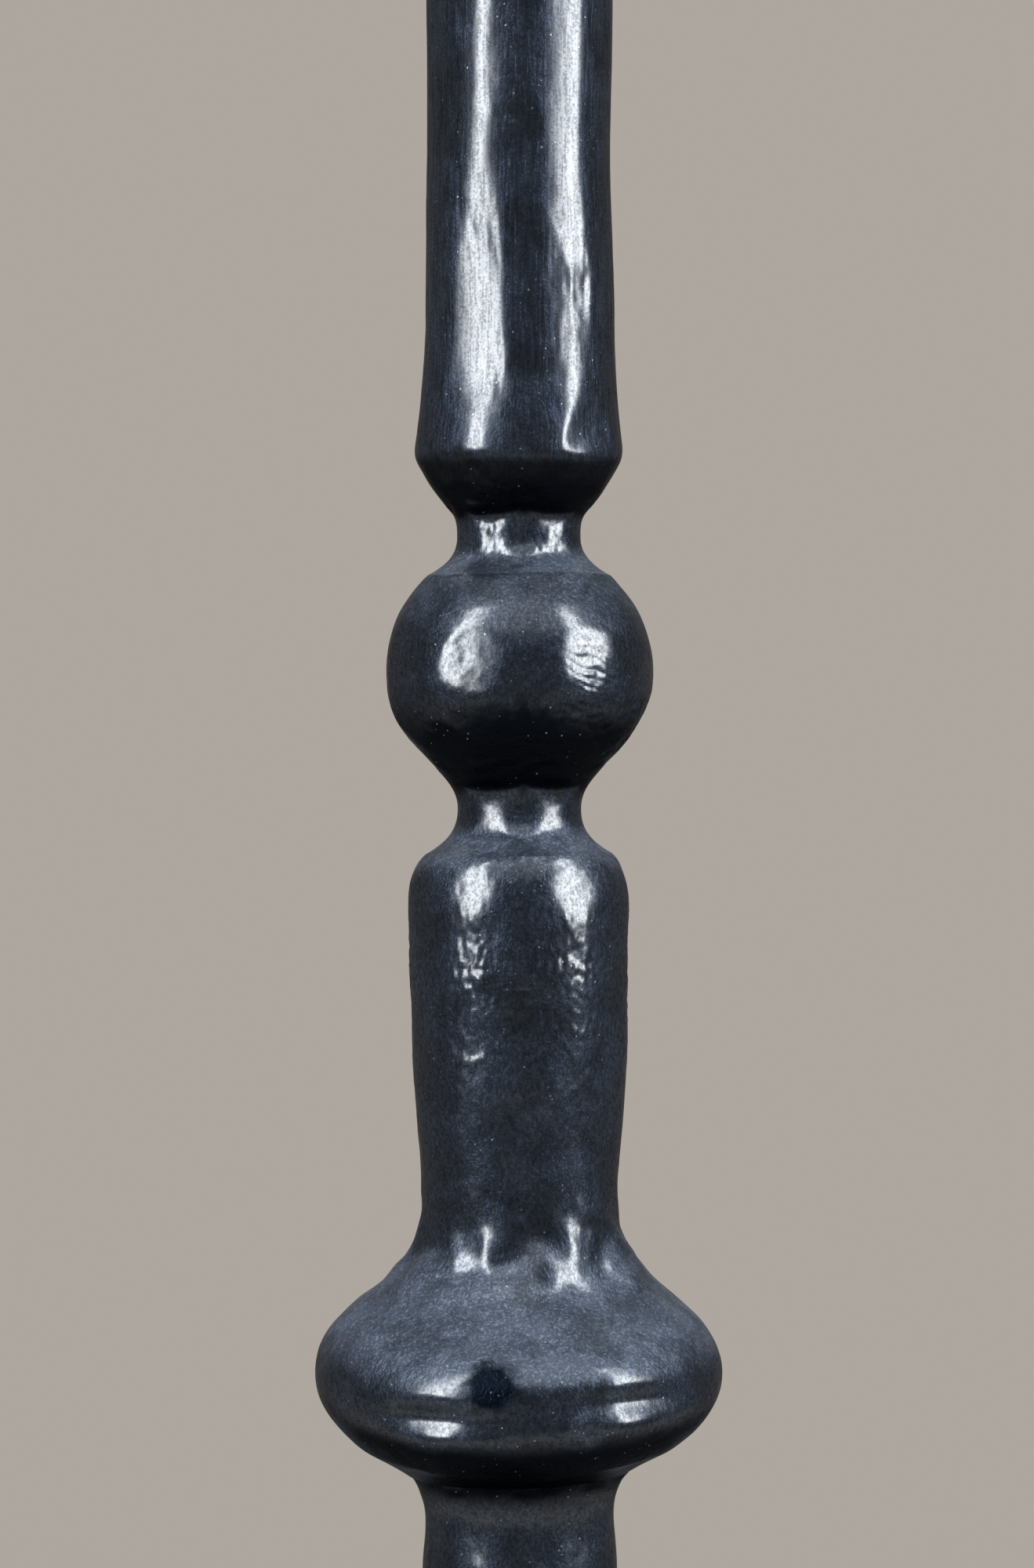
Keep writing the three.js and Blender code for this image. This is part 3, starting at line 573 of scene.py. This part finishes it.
front *= np.clip(rise / (6 * mm), 0, 1) * np.clip((58 * mm - rise) / (14 * mm), 0, 1)
places[:, 2] -= 3 * mm * front * np.clip((radii - 14 * mm) / (12 * mm), 0, 1)
write_points(knop.data, places)
planish(knop, 10 * mm, 0.5 * mm, 1.2, clear=bore_radius + 1 * mm)
dent(knop, [
    (-24, low + 12.7 * mm, 12 * mm, 2.6 * mm, 1.4 * mm),
    (33, low + 14.8 * mm, 12 * mm, 2.4 * mm, 1.2 * mm),
    (20, low + 11 * mm, 1.4 * mm, 1.6 * mm, 0.5 * mm),
    (-22, low + 33.5 * mm, 5 * mm, 5 * mm, 0.5 * mm),
    (36, low + 29.5 * mm, 7 * mm, 6 * mm, 1.1 * mm),
])
forge(knop, 6 * mm, 0.12 * mm, 1.3)
press(knop, [
    (-25, low + 91.5 * mm, 11, 0.45 * mm, 6 * mm),
    (33, low + 91.5 * mm, 11, 0.45 * mm, 6 * mm),
])
roughen(knop, 5 * mm, 0.6 * mm, clear=bore_radius + 1 * mm, middle=low + 36 * mm, reach=9 * mm)
roughen(knop, 1.1 * mm, 0.15 * mm, clear=bore_radius + 1 * mm, middle=low + 78 * mm, reach=12 * mm)
fit(knop, "knop_sleeve")

# Necks. Two short waisted collars, above and below the ball, forged thin round the tie tube.
for node, foot_radius, waist_height, top_radius in (
    ("lower_neck", 14.8, 7.2, 13.6),
    ("upper_neck", 14.4, 6, 11),
):
    low, high = (corner.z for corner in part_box(node))
    outline = Outline(bore_radius, low, 0.35 * mm).edge(foot_radius * mm, low)
    outline.curve(9.8 * mm, low + waist_height * mm, 150, up).curve(top_radius * mm, high, up, 50)
    outline.edge(bore_radius, high)
    neck = turned("forged_" + node, outline, 224, beaten_iron)
    waist = low + waist_height * mm
    press(neck, [(-25, waist, 3, 0.25 * mm, 4 * mm), (33, waist, 3, 0.25 * mm, 4 * mm)])
    forge(neck, 5 * mm, 0.14 * mm, 1)
    fit(neck, node)

# Ball. Beaten into broad soft facets, of which two face the windows, with small marks all over. The wax has
# run into fine creases on the right one.
low, high = (corner.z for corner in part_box("ball"))
outline = Outline(bore_radius, low, 0.35 * mm).edge(13.6 * mm, low)
outline.curve(21.2 * mm, low + 15 * mm, 44, up).curve(14.4 * mm, high, up, 138).edge(bore_radius, high)
ball = turned("beaten_ball", outline, 384, iron_with_less_painted_sheen)
planish(ball, 9 * mm, 0.7 * mm, clear=bore_radius + 1 * mm)
press(ball, [
    (-20.5, low + 17.5 * mm, 4, 0.75 * mm, 9 * mm),
    (33, low + 15.5 * mm, 3, 0.55 * mm, 9 * mm),
])
places = read_points(ball.data, "co")
normals = read_points(ball.data, "normal")
aside = places @ Vector((math.cos(math.radians(33)), math.sin(math.radians(33)), 0))
rise = places[:, 2] - low - 13 * mm
wander = np.array([noise.noise(place) for place in places / (4 * mm)])
creased = np.exp(-(aside / (5 * mm)) ** 4 - (rise / (6 * mm)) ** 4) * (places[:, 1] < 0)
creases = 0.035 * mm * np.sin((rise + 0.3 * aside + 1.5 * mm * wander) * 2 * math.pi / (1.25 * mm))
write_points(ball.data, places + normals * (creases * creased)[:, None])
forge(ball, 4 * mm, 0.12 * mm, 0.8)
fit(ball, "ball")

# Upper shaft. A tapered tube with long uneven flats, flared to a soft arris and chamfered under it.
low, high = (corner.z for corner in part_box("upper_shaft"))
outline = Outline(bore_radius, low).edge(11 * mm, low)
outline.curve(15.9 * mm, low + 7 * mm, 46, 60).curve(16.4 * mm, low + 11 * mm, 60, 99)
outline.curve(15 * mm, low + 30 * mm, 97, up).curve(14.6 * mm, low + 62 * mm, up, up)
outline.curve(14.9 * mm, low + 110 * mm, up, up)
outline.step = 1.6 * mm
outline.line(12.8 * mm, high - 4 * mm).curve(11.6 * mm, high, 120, 160).edge(bore_radius, high)
shaft = turned("forged_upper_shaft", outline, 224, drawn_iron)
planish(shaft, 11 * mm, 0.5 * mm, 3.5, clear=bore_radius + 1 * mm)
press(shaft, [
    (-26, low + 34 * mm, 0, 0.7 * mm, 18 * mm),
    (30, low + 66 * mm, 0, 0.3 * mm, 42 * mm),
    (45, low + 17.5 * mm, 0, 0.27 * mm, 8 * mm),
])
forge(shaft, 6 * mm, 0.16 * mm, 3)
fit(shaft, "upper_shaft")

# Head of the stem. A small ball on a short neck carries the cup that hides the tie tube's top nut.
low, high = (corner.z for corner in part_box("head_ball"))
outline = Outline(bore_radius, low).edge(11.6 * mm, low)
outline.curve(8.4 * mm, low + 3.6 * mm, 150, up).curve(14.6 * mm, low + 14 * mm, 0, up)
outline.curve(8.8 * mm, high, up, inwards).edge(bore_radius, high)
head = turned("forged_head_ball", outline, 208, beaten_iron)
planish(head, 7 * mm, 0.8 * mm, clear=bore_radius + 1 * mm)
forge(head, 5 * mm, 0.15 * mm, 1)
fit(head, "head_ball")

low, high = (corner.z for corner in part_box("holder_cup"))
outline = Outline(bore_radius, low).edge(9.4 * mm, low).curve(22 * mm, high - 1 * mm, 0, up)
outline.curve(21 * mm, high, up, inwards).curve(20 * mm, high - 1 * mm, inwards, down)
outline.curve(12 * mm, low + 5 * mm, down, inwards).edge(bore_radius, low + 5 * mm)
cup = turned("forged_holder_cup", outline, 208, beaten_iron)
planish(cup, 6 * mm, 0.35 * mm, clear=20.5 * mm)
fit(cup, "holder_cup")

# Lampholder cap. A spun brass cap with a collar that a grub screw locks to the tie tube, a dome and a rolled
# rim. It is lacquered and has gone brown in patches.
brass = turned_metal("aged_brass", (0.46, 0.31, 0.12), (0.2, 0.125, 0.05), 0.24, 0.48)
low, high = (corner.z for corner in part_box("holder_cap"))
outline = Outline(bore_radius, low).edge(8.1 * mm, low).edge(8.5 * mm, low + 0.4 * mm)
outline.line(8.5 * mm, low + 7.4 * mm).curve(9.3 * mm, low + 8.4 * mm, up, 35)
outline.curve(19.6 * mm, low + 23 * mm, 35, up).line(19.6 * mm, low + 33 * mm)
outline.curve(19.1 * mm, low + 33.8 * mm, up, up).curve(19.6 * mm, low + 34.6 * mm, up, up)
outline.line(19.6 * mm, high - 0.4 * mm).edge(19.3 * mm, high).edge(18.3 * mm, high)
outline.line(18.3 * mm, low + 23 * mm).curve(8.5 * mm, low + 10 * mm, down, 215)
outline.edge(bore_radius, low + 10 * mm)
cap = turned("spun_holder_cap", outline, 160, brass)
spindle_rise = sum(corner.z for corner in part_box("switch_spindle")) / 2
drill(cap, 2.3 * mm, Vector((16 * mm, 0, spindle_rise)), Vector((21 * mm, 0, spindle_rise)))
drill(cap, 1.8 * mm, Vector((0, -9.5 * mm, low + 4 * mm)), Vector((0, -5 * mm, low + 4 * mm)))
fit(cap, "holder_cap")
dress(steel, "grub_screw")


# Holder's inner parts. A phenolic switch block and a glazed porcelain insulator carry the brass screw shell,
# its spring contact and the two terminal screws.
def glazed_porcelain():
    porcelain = Finish("porcelain", {"Coat Weight": 1, "Coat Roughness": 0.06})
    tone = porcelain.ease(porcelain.cloud(8 * mm, detail=4), 0.3, 0.7)
    specks = 1 - porcelain.ease(porcelain.cloud(0.6 * mm), 0.27, 0.32)
    white = porcelain.blend(tone, (0.74, 0.71, 0.64, 1), (0.8, 0.78, 0.72, 1))
    return porcelain.coat(
        Base_Color=porcelain.blend(specks * 0.5, white, (0.3, 0.25, 0.18, 1)),
        Roughness=0.3 + 0.15 * tone,
        relief=tone * 0.05 * mm,
    )


dress(black_plastic, "switch_block")
dress(glazed_porcelain(), "holder_insulator")
dress(brass, "screw_shell", "live_terminal", "neutral_terminal", "centre_contact", "switch_spindle")

# Holder skirt. A brass tube, screwed to the cap, with a flange on the cap's rim and a round coarse thread for
# the two shade rings.
low, high = (corner.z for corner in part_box("holder_skirt"))
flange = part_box("holder_cap")[1].z
thread_pitch = 2.6 * mm
thread_depth = 0.6 * mm
outline = Outline(17.3 * mm, low, 0.25 * mm).edge(18 * mm, low).edge(18 * mm, flange).edge(19.4 * mm, flange)
outline.edge(19.6 * mm, flange + 0.3 * mm).edge(19.6 * mm, flange + 1.7 * mm)
outline.edge(19.3 * mm, flange + 2 * mm).line(18.9 * mm, flange + 2 * mm).line(18.9 * mm, high - 0.6 * mm)
outline.curve(18.3 * mm, high, up, inwards).edge(15.4 * mm, high).edge(15.4 * mm, high - 1.3 * mm)
outline.edge(17.3 * mm, high - 1.3 * mm)
skirt = turned("threaded_holder_skirt", outline, 128, brass)
places = read_points(skirt.data, "co")
radii = np.hypot(places[:, 0], places[:, 1])
turns = places[:, 2] / thread_pitch - np.arctan2(places[:, 1], places[:, 0]) / (2 * math.pi)
ends = np.clip(np.minimum(places[:, 2] - flange - 2 * mm, high - places[:, 2]) / (1.2 * mm), 0, 1)
wall = (radii > 18.5 * mm) & (radii < 19 * mm)
sunk = thread_depth * (0.5 + 0.5 * np.cos(2 * math.pi * turns)) * ends * wall
places[:, :2] *= (1 - sunk / radii)[:, None]
write_points(skirt.data, places)
fit(skirt, "holder_skirt")


# Shade rings. Two black phenolic rings screw on the skirt's thread and clamp the shade's hub between them.
# Their rims are fluted for the fingers.
def flute(piece, count, depth, from_radius):
    """Sinks round flutes in the rim of a piece that was turned about the stem's axis."""
    places = read_points(piece.data, "co")
    radii = np.hypot(places[:, 0], places[:, 1])
    turn = np.arctan2(places[:, 1], places[:, 0])
    share = np.clip((radii - from_radius) / (1 * mm), 0, 1)
    sunk = depth * (0.5 - 0.5 * np.cos(count * turn)) ** 0.7 * share
    places[:, :2] *= (1 - sunk / np.maximum(radii, from_radius))[:, None]
    write_points(piece.data, places)


for node, body in (("lower_shade_ring", "stand"), ("upper_shade_ring", "clamp_ring")):
    low, high = (corner.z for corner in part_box(node))
    outline = Outline(19.7 * mm, low, 0.6 * mm).edge(19.3 * mm, low + 0.5 * mm).line(19.3 * mm, high - 0.5 * mm)
    outline.edge(19.7 * mm, high).line(26.6 * mm, high).curve(28 * mm, high - 1.4 * mm, 0, down)
    outline.line(28 * mm, low + 1.4 * mm).curve(26.6 * mm, low, down, inwards).line(22 * mm, low)
    ring = turned("fluted_" + node, outline, 288, black_plastic)
    flute(ring, 24, 0.9 * mm, 26.5 * mm)
    fit(ring, node, body)

# Switch knob. A fluted phenolic knob on the rotary switch's spindle, with a domed end and a moulded ring.
low, high = (corner.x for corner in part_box("switch_knob"))
outline = Outline(2.2 * mm, low, 0.3 * mm).edge(2.2 * mm, low + 7 * mm).edge(0, low + 7 * mm)
knob_bore = outline.points
outline = Outline(2.2 * mm, low, 0.3 * mm).line(5.4 * mm, low).curve(5.8 * mm, low + 0.6 * mm, 20, up)
outline.line(5.8 * mm, low + 1.4 * mm).curve(7.5 * mm, low + 2.6 * mm, 0, up).line(7.2 * mm, high - 1.6 * mm)
outline.curve(5.6 * mm, high - 0.2 * mm, up, inwards).line(4.2 * mm, high)
outline.curve(3.8 * mm, high - 0.3 * mm, inwards, inwards).line(0, high - 0.1 * mm)
outline.points += knob_bore[::-1]
knob = turned("fluted_switch_knob", outline, 192, black_plastic)
flute(knob, 12, 0.7 * mm, 6 * mm)
knob.data.transform(Matrix.Translation((0, 0, spindle_rise)) @ Matrix.Rotation(math.pi / 2, 4, "Y"))
fit(knob, "switch_knob", "switch")


# Lamp. An opal glass globe, cemented in a nickelled screw cap with a black glass insulator and a solder tip.
def opal_glass():
    glass = Finish("opal_glass", {"Coat Weight": 1, "Coat Roughness": 0.03, "Subsurface Weight": 0.3})
    glass.feed(glass.shader, {"Subsurface Radius": (1, 1, 0.9), "Subsurface Scale": 6 * mm})
    tone = glass.ease(glass.cloud(25 * mm, detail=2), 0.3, 0.7)
    return glass.coat(
        Base_Color=glass.blend(tone, (0.82, 0.81, 0.77, 1), (0.87, 0.86, 0.83, 1)),
        Roughness=0.25 + 0.1 * tone,
        relief=tone * 0.05 * mm,
    )


nickel = turned_metal("nickel", (0.62, 0.6, 0.55), (0.4, 0.37, 0.31), 0.22, 0.4)
dress(nickel, "lamp_tip", "lamp_cap")
dress(black_plastic, "lamp_insulator")
low, high = (corner.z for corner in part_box("lamp_glass"))
outline = Outline(0, low, 1 * mm).edge(12.8 * mm, low).edge(13.2 * mm, low + 0.3 * mm)
outline.curve(30 * mm, high - 30 * mm, 70, up).curve(0, high, up, inwards, 0.39)
globe = turned("opal_lamp_glass", outline, 160, opal_glass(), closed=False)
fit(globe, "lamp_glass", "bulb")


# Spider. A steel hub with three round arms welded to its rim and to the shade's bottom wire, all stove
# enamelled white together with the two wire rings.
def white_enamel():
    enamel = Finish("wire_white", {"Coat Weight": 0.4, "Coat Roughness": 0.15})
    tone = enamel.ease(enamel.cloud(5 * mm, detail=4), 0.3, 0.7)
    peel = enamel.cloud(0.8 * mm)
    return enamel.coat(
        Base_Color=enamel.blend(tone, (0.66, 0.64, 0.58, 1), (0.74, 0.72, 0.67, 1)),
        Roughness=0.38 + 0.14 * tone,
        relief=peel * 0.06 * mm,
    )


def drawn_wire(name, path, finish):
    """A round wire along a path of places and radii."""
    line = bpy.data.curves.new(name, "CURVE")
    line.dimensions = "3D"
    line.bevel_depth = 1
    line.bevel_resolution = 6
    line.use_fill_caps = True
    spline = line.splines.new("POLY")
    spline.points.add(len(path) - 1)
    for point, (place, radius) in zip(spline.points, path):
        point.co = (*place, 1)
        point.radius = radius
    holder = bpy.data.objects.new(name, line)
    mesh = bpy.data.meshes.new_from_object(holder)
    bpy.data.objects.remove(holder)
    bm = bmesh.new()
    bm.from_mesh(mesh)
    bmesh.ops.remove_doubles(bm, verts=bm.verts, dist=0.001 * mm)
    bmesh.ops.recalc_face_normals(bm, faces=bm.faces)
    return add_piece(name, bm, finish)


enamel = white_enamel()
low, high = (corner.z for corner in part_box("spider_hub"))
outline = Outline(21.2 * mm, low, 1 * mm).edge(21 * mm, low + 0.3 * mm).edge(21 * mm, high - 0.3 * mm)
outline.edge(21.3 * mm, high).line(30.4 * mm, high).curve(30.4 * mm, low, 0, inwards, 0.67).line(21.2 * mm, low)
hub = turned("spider_hub_ring", outline, 192, enamel)
fit(hub, "spider_hub", "shade")
arm_radius = 1.7 * mm
hub_middle = (low + high) / 2
wire_low, wire_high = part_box("bottom_wire")
wire_radius = (wire_high.z - wire_low.z) / 2
wire_middle = (wire_low.z + wire_high.z) / 2
for number in (1, 2, 3):
    turn = math.radians(-90 + 120 * (number - 1))
    out = Vector((math.cos(turn), math.sin(turn), 0))
    start = out * 31 * mm + Vector((0, 0, hub_middle))
    end = out * (wire_high.x - 2 * wire_radius - 1 * mm) + Vector((0, 0, wire_middle))
    path = []
    for step in range(61):
        share = step / 60
        weld = math.exp(-(share * 60) ** 2 / 4) + math.exp(-((1 - share) * 60) ** 2 / 4)
        path.append((start.lerp(end, share), arm_radius * (1 + 0.18 * weld)))
    arm = drawn_wire(f"spider_arm_wire_{number}", path, enamel)
    fit(arm, f"spider_arm_{number}", "shade")
for node in ("bottom_wire", "top_wire"):
    low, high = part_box(node)
    radius = (high.z - low.z) / 2 * 1.08
    middle = high.x - 1.9 * mm
    outline = Outline(middle + radius, low.z + (high.z - low.z) / 2)
    for step in range(1, 20):
        turn = step * math.pi / 10
        rise = low.z + (high.z - low.z) / 2 + radius * math.sin(turn)
        outline.edge(middle + radius * math.cos(turn), rise)
    wire = turned(node + "_ring", outline, 320, enamel)
    fit(wire, node, "shade")


# Shade. Natural linen is laminated to a stiff white liner, lapped and glued at the back, and its ends are
# bound to the wires with linen tape.
def woven(name, pitch, dark, light):
    """Plain weave on the piece's own flat pattern. Each thread has its own slubs and shade."""
    cloth = Finish(name, {"Roughness": 0.95, "Specular IOR Level": 0.15, "Sheen Weight": 0.15})
    flat = cloth.node("SeparateXYZ", inputs={"Vector": cloth.node("TexCoord")["UV"]})

    def threads(across, along):
        """The height of a set of threads, their slubs, and which of them lie on top."""
        count = across * (1 / pitch)
        number = count.math("FLOOR", count)
        start = cloth.node("TexWhiteNoise", {"noise_dimensions": "1D"}, {"W": number})["Value"]
        laid = cloth.node("CombineXYZ", inputs={"X": number * 0.37, "Y": along * (1 / slub_length) + start * 90})
        slubs = cloth.ease(cloth.node("TexNoise", inputs={"Vector": laid, "Scale": 1, "Detail": 4}), 0.3, 0.75)
        wave = count.math("SINE", count * math.pi)
        return 1 - (1 - wave * wave) * (1 - wave * wave), slubs * 0.75 + start * 0.25, wave

    slub_length = 28 * mm
    warp_gap, warp_slubs, warp_wave = threads(flat["X"], flat["Y"])
    weft_gap, weft_slubs, weft_wave = threads(flat["Y"], flat["X"])
    over = 0.5 + 0.5 * warp_wave * weft_wave
    height = warp_gap * over + weft_gap * (1 - over)
    uneven = warp_slubs * over + weft_slubs * (1 - over)
    tone = cloth.blend(uneven, (*dark, 1), (*light, 1))
    shadowed = cloth.blend(0.72 + 0.28 * height, (0, 0, 0, 1), tone)
    at = cloth.node("SeparateXYZ", inputs={"Vector": cloth.place()})
    lap = cloth.ease(at["X"], -12.3 * mm, -11.9 * mm) * (1 - cloth.ease(at["X"], -0.2 * mm, 0.2 * mm))
    lapped = cloth.ease(at["Y"], 0, 1 * mm) * lap
    return cloth.coat(
        Base_Color=shadowed,
        relief=(height * 0.2 + uneven * 0.25 + lapped * 0.6) * (pitch / (0.9 * mm)) * mm,
    )


def lay_flat(piece, pattern):
    """Gives a piece its flat pattern: pattern() turns a place's azimuth from the front, radius and height
    into two lengths. The pattern is cut at the back."""
    mesh = piece.data
    places = read_points(mesh, "co")
    corners = np.empty(len(mesh.loops), int)
    mesh.loops.foreach_get("vertex_index", corners)
    sizes = np.empty(len(mesh.polygons), int)
    mesh.polygons.foreach_get("loop_total", sizes)
    middles = np.empty(len(mesh.polygons) * 3)
    mesh.polygons.foreach_get("center", middles)
    middles = np.repeat(middles.reshape(-1, 3), sizes, axis=0)
    places = places[corners]
    azimuths = np.arctan2(places[:, 0], -places[:, 1])
    sides = np.arctan2(middles[:, 0], -middles[:, 1])
    azimuths += 2 * math.pi * np.round((sides - azimuths) / (2 * math.pi))
    radii = np.hypot(places[:, 0], places[:, 1])
    flat = np.stack(pattern(azimuths, radii, places[:, 2]), axis=1)
    mesh.uv_layers.new(name="flat_pattern").data.foreach_set("uv", flat.ravel())


foot_radius, top_radius = 210 * mm, 150 * mm
shade_height = 290 * mm
shade_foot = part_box("holder_cap")[0].z - 6 * mm
slant = math.hypot(foot_radius - top_radius, shade_height)
lean_in = (foot_radius - top_radius) / slant


def on_slant(along, inside):
    """Radius and height of a point up the shade's slant, and inside the cover's face."""
    radius = foot_radius - along * lean_in - inside * shade_height / slant
    return radius, shade_foot + along * shade_height / slant - inside * lean_in


def cone_pattern(azimuths, radii, heights):
    """The cover laid flat: a sector of a ring round the point where the shade's slant meets the axis."""
    reach = radii / lean_in
    turn = azimuths * lean_in
    return reach * np.sin(turn), reach * np.cos(turn)


cover_edge = 1.1 * mm
cover_thickness = 1 * mm
outline = Outline(*on_slant(cover_edge, cover_thickness), 4 * mm).edge(*on_slant(cover_edge, 0))
outline.line(*on_slant(slant - cover_edge, 0)).edge(*on_slant(slant - cover_edge, cover_thickness))
outline.line(*on_slant(cover_edge, cover_thickness))
linen = woven("linen", 0.9 * mm, (0.42, 0.34, 0.23), (0.66, 0.58, 0.45))
cover = turned("linen_shade_cover", outline, 384, linen)
roughen(cover, 70 * mm, 0.5 * mm)
lay_flat(cover, cone_pattern)
long_reach, short_reach = foot_radius / lean_in, top_radius / lean_in
half_turn = math.pi * lean_in
cut = (2 * long_reach * math.sin(half_turn), long_reach - short_reach * math.cos(half_turn))
cloth_area = math.pi * (foot_radius + top_radius) * slant
fit(cover, "shade_cover", "shade")


def liner_film():
    liner = Finish("white_liner", {"Specular IOR Level": 0.4})
    tone = liner.ease(liner.cloud(30 * mm, detail=4), 0.3, 0.7)
    tooth = liner.cloud(0.7 * mm)
    return liner.coat(
        Base_Color=liner.blend(tone, (0.76, 0.74, 0.69, 1), (0.81, 0.79, 0.75, 1)),
        Roughness=0.5 + 0.1 * tone,
        relief=tooth * 0.04 * mm,
    )


liner_outside, liner_inside = 1.3 * mm, 2.2 * mm
outline = Outline(*on_slant(cover_edge, liner_inside), 20 * mm).edge(*on_slant(cover_edge, liner_outside))
outline.line(*on_slant(slant - cover_edge, liner_outside)).edge(*on_slant(slant - cover_edge, liner_inside))
outline.line(*on_slant(cover_edge, liner_inside))
liner = turned("shade_liner_film", outline, 384, liner_film())
fit(liner, "shade_liner", "shade")

tape = woven("binding_linen", 0.5 * mm, (0.4, 0.32, 0.22), (0.6, 0.52, 0.4))
tape_width, tape_thickness = 9 * mm, 0.8 * mm
for node, edge, side in (("bottom_binding", 0, 1), ("top_binding", slant, -1)):
    hem, fold = edge + side * tape_width, edge + side * tape_thickness
    outer, inner = -0.3 * mm - tape_thickness, liner_inside + 0.3 * mm
    outline = Outline(*on_slant(hem, -0.3 * mm), 0.6 * mm).edge(*on_slant(hem, outer + 0.3 * mm))
    outline.edge(*on_slant(hem - side * 0.3 * mm, outer)).line(*on_slant(edge + side * 1 * mm, outer))
    outline.edge(*on_slant(edge + side * 0.4 * mm, outer + 0.25 * mm)).edge(*on_slant(edge, outer + 0.8 * mm))
    outline.line(*on_slant(edge, inner - 0.4 * mm)).edge(*on_slant(edge + side * 0.3 * mm, inner))
    outline.edge(*on_slant(fold, inner)).line(*on_slant(fold, -0.3 * mm))
    outline.line(*on_slant(hem, -0.3 * mm))
    binding = turned(node + "_tape", outline, 640, tape)
    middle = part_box(node)[1].x
    lay_flat(binding, lambda azimuths, radii, heights: (azimuths * middle, heights + radii))
    fit(binding, node, "shade")
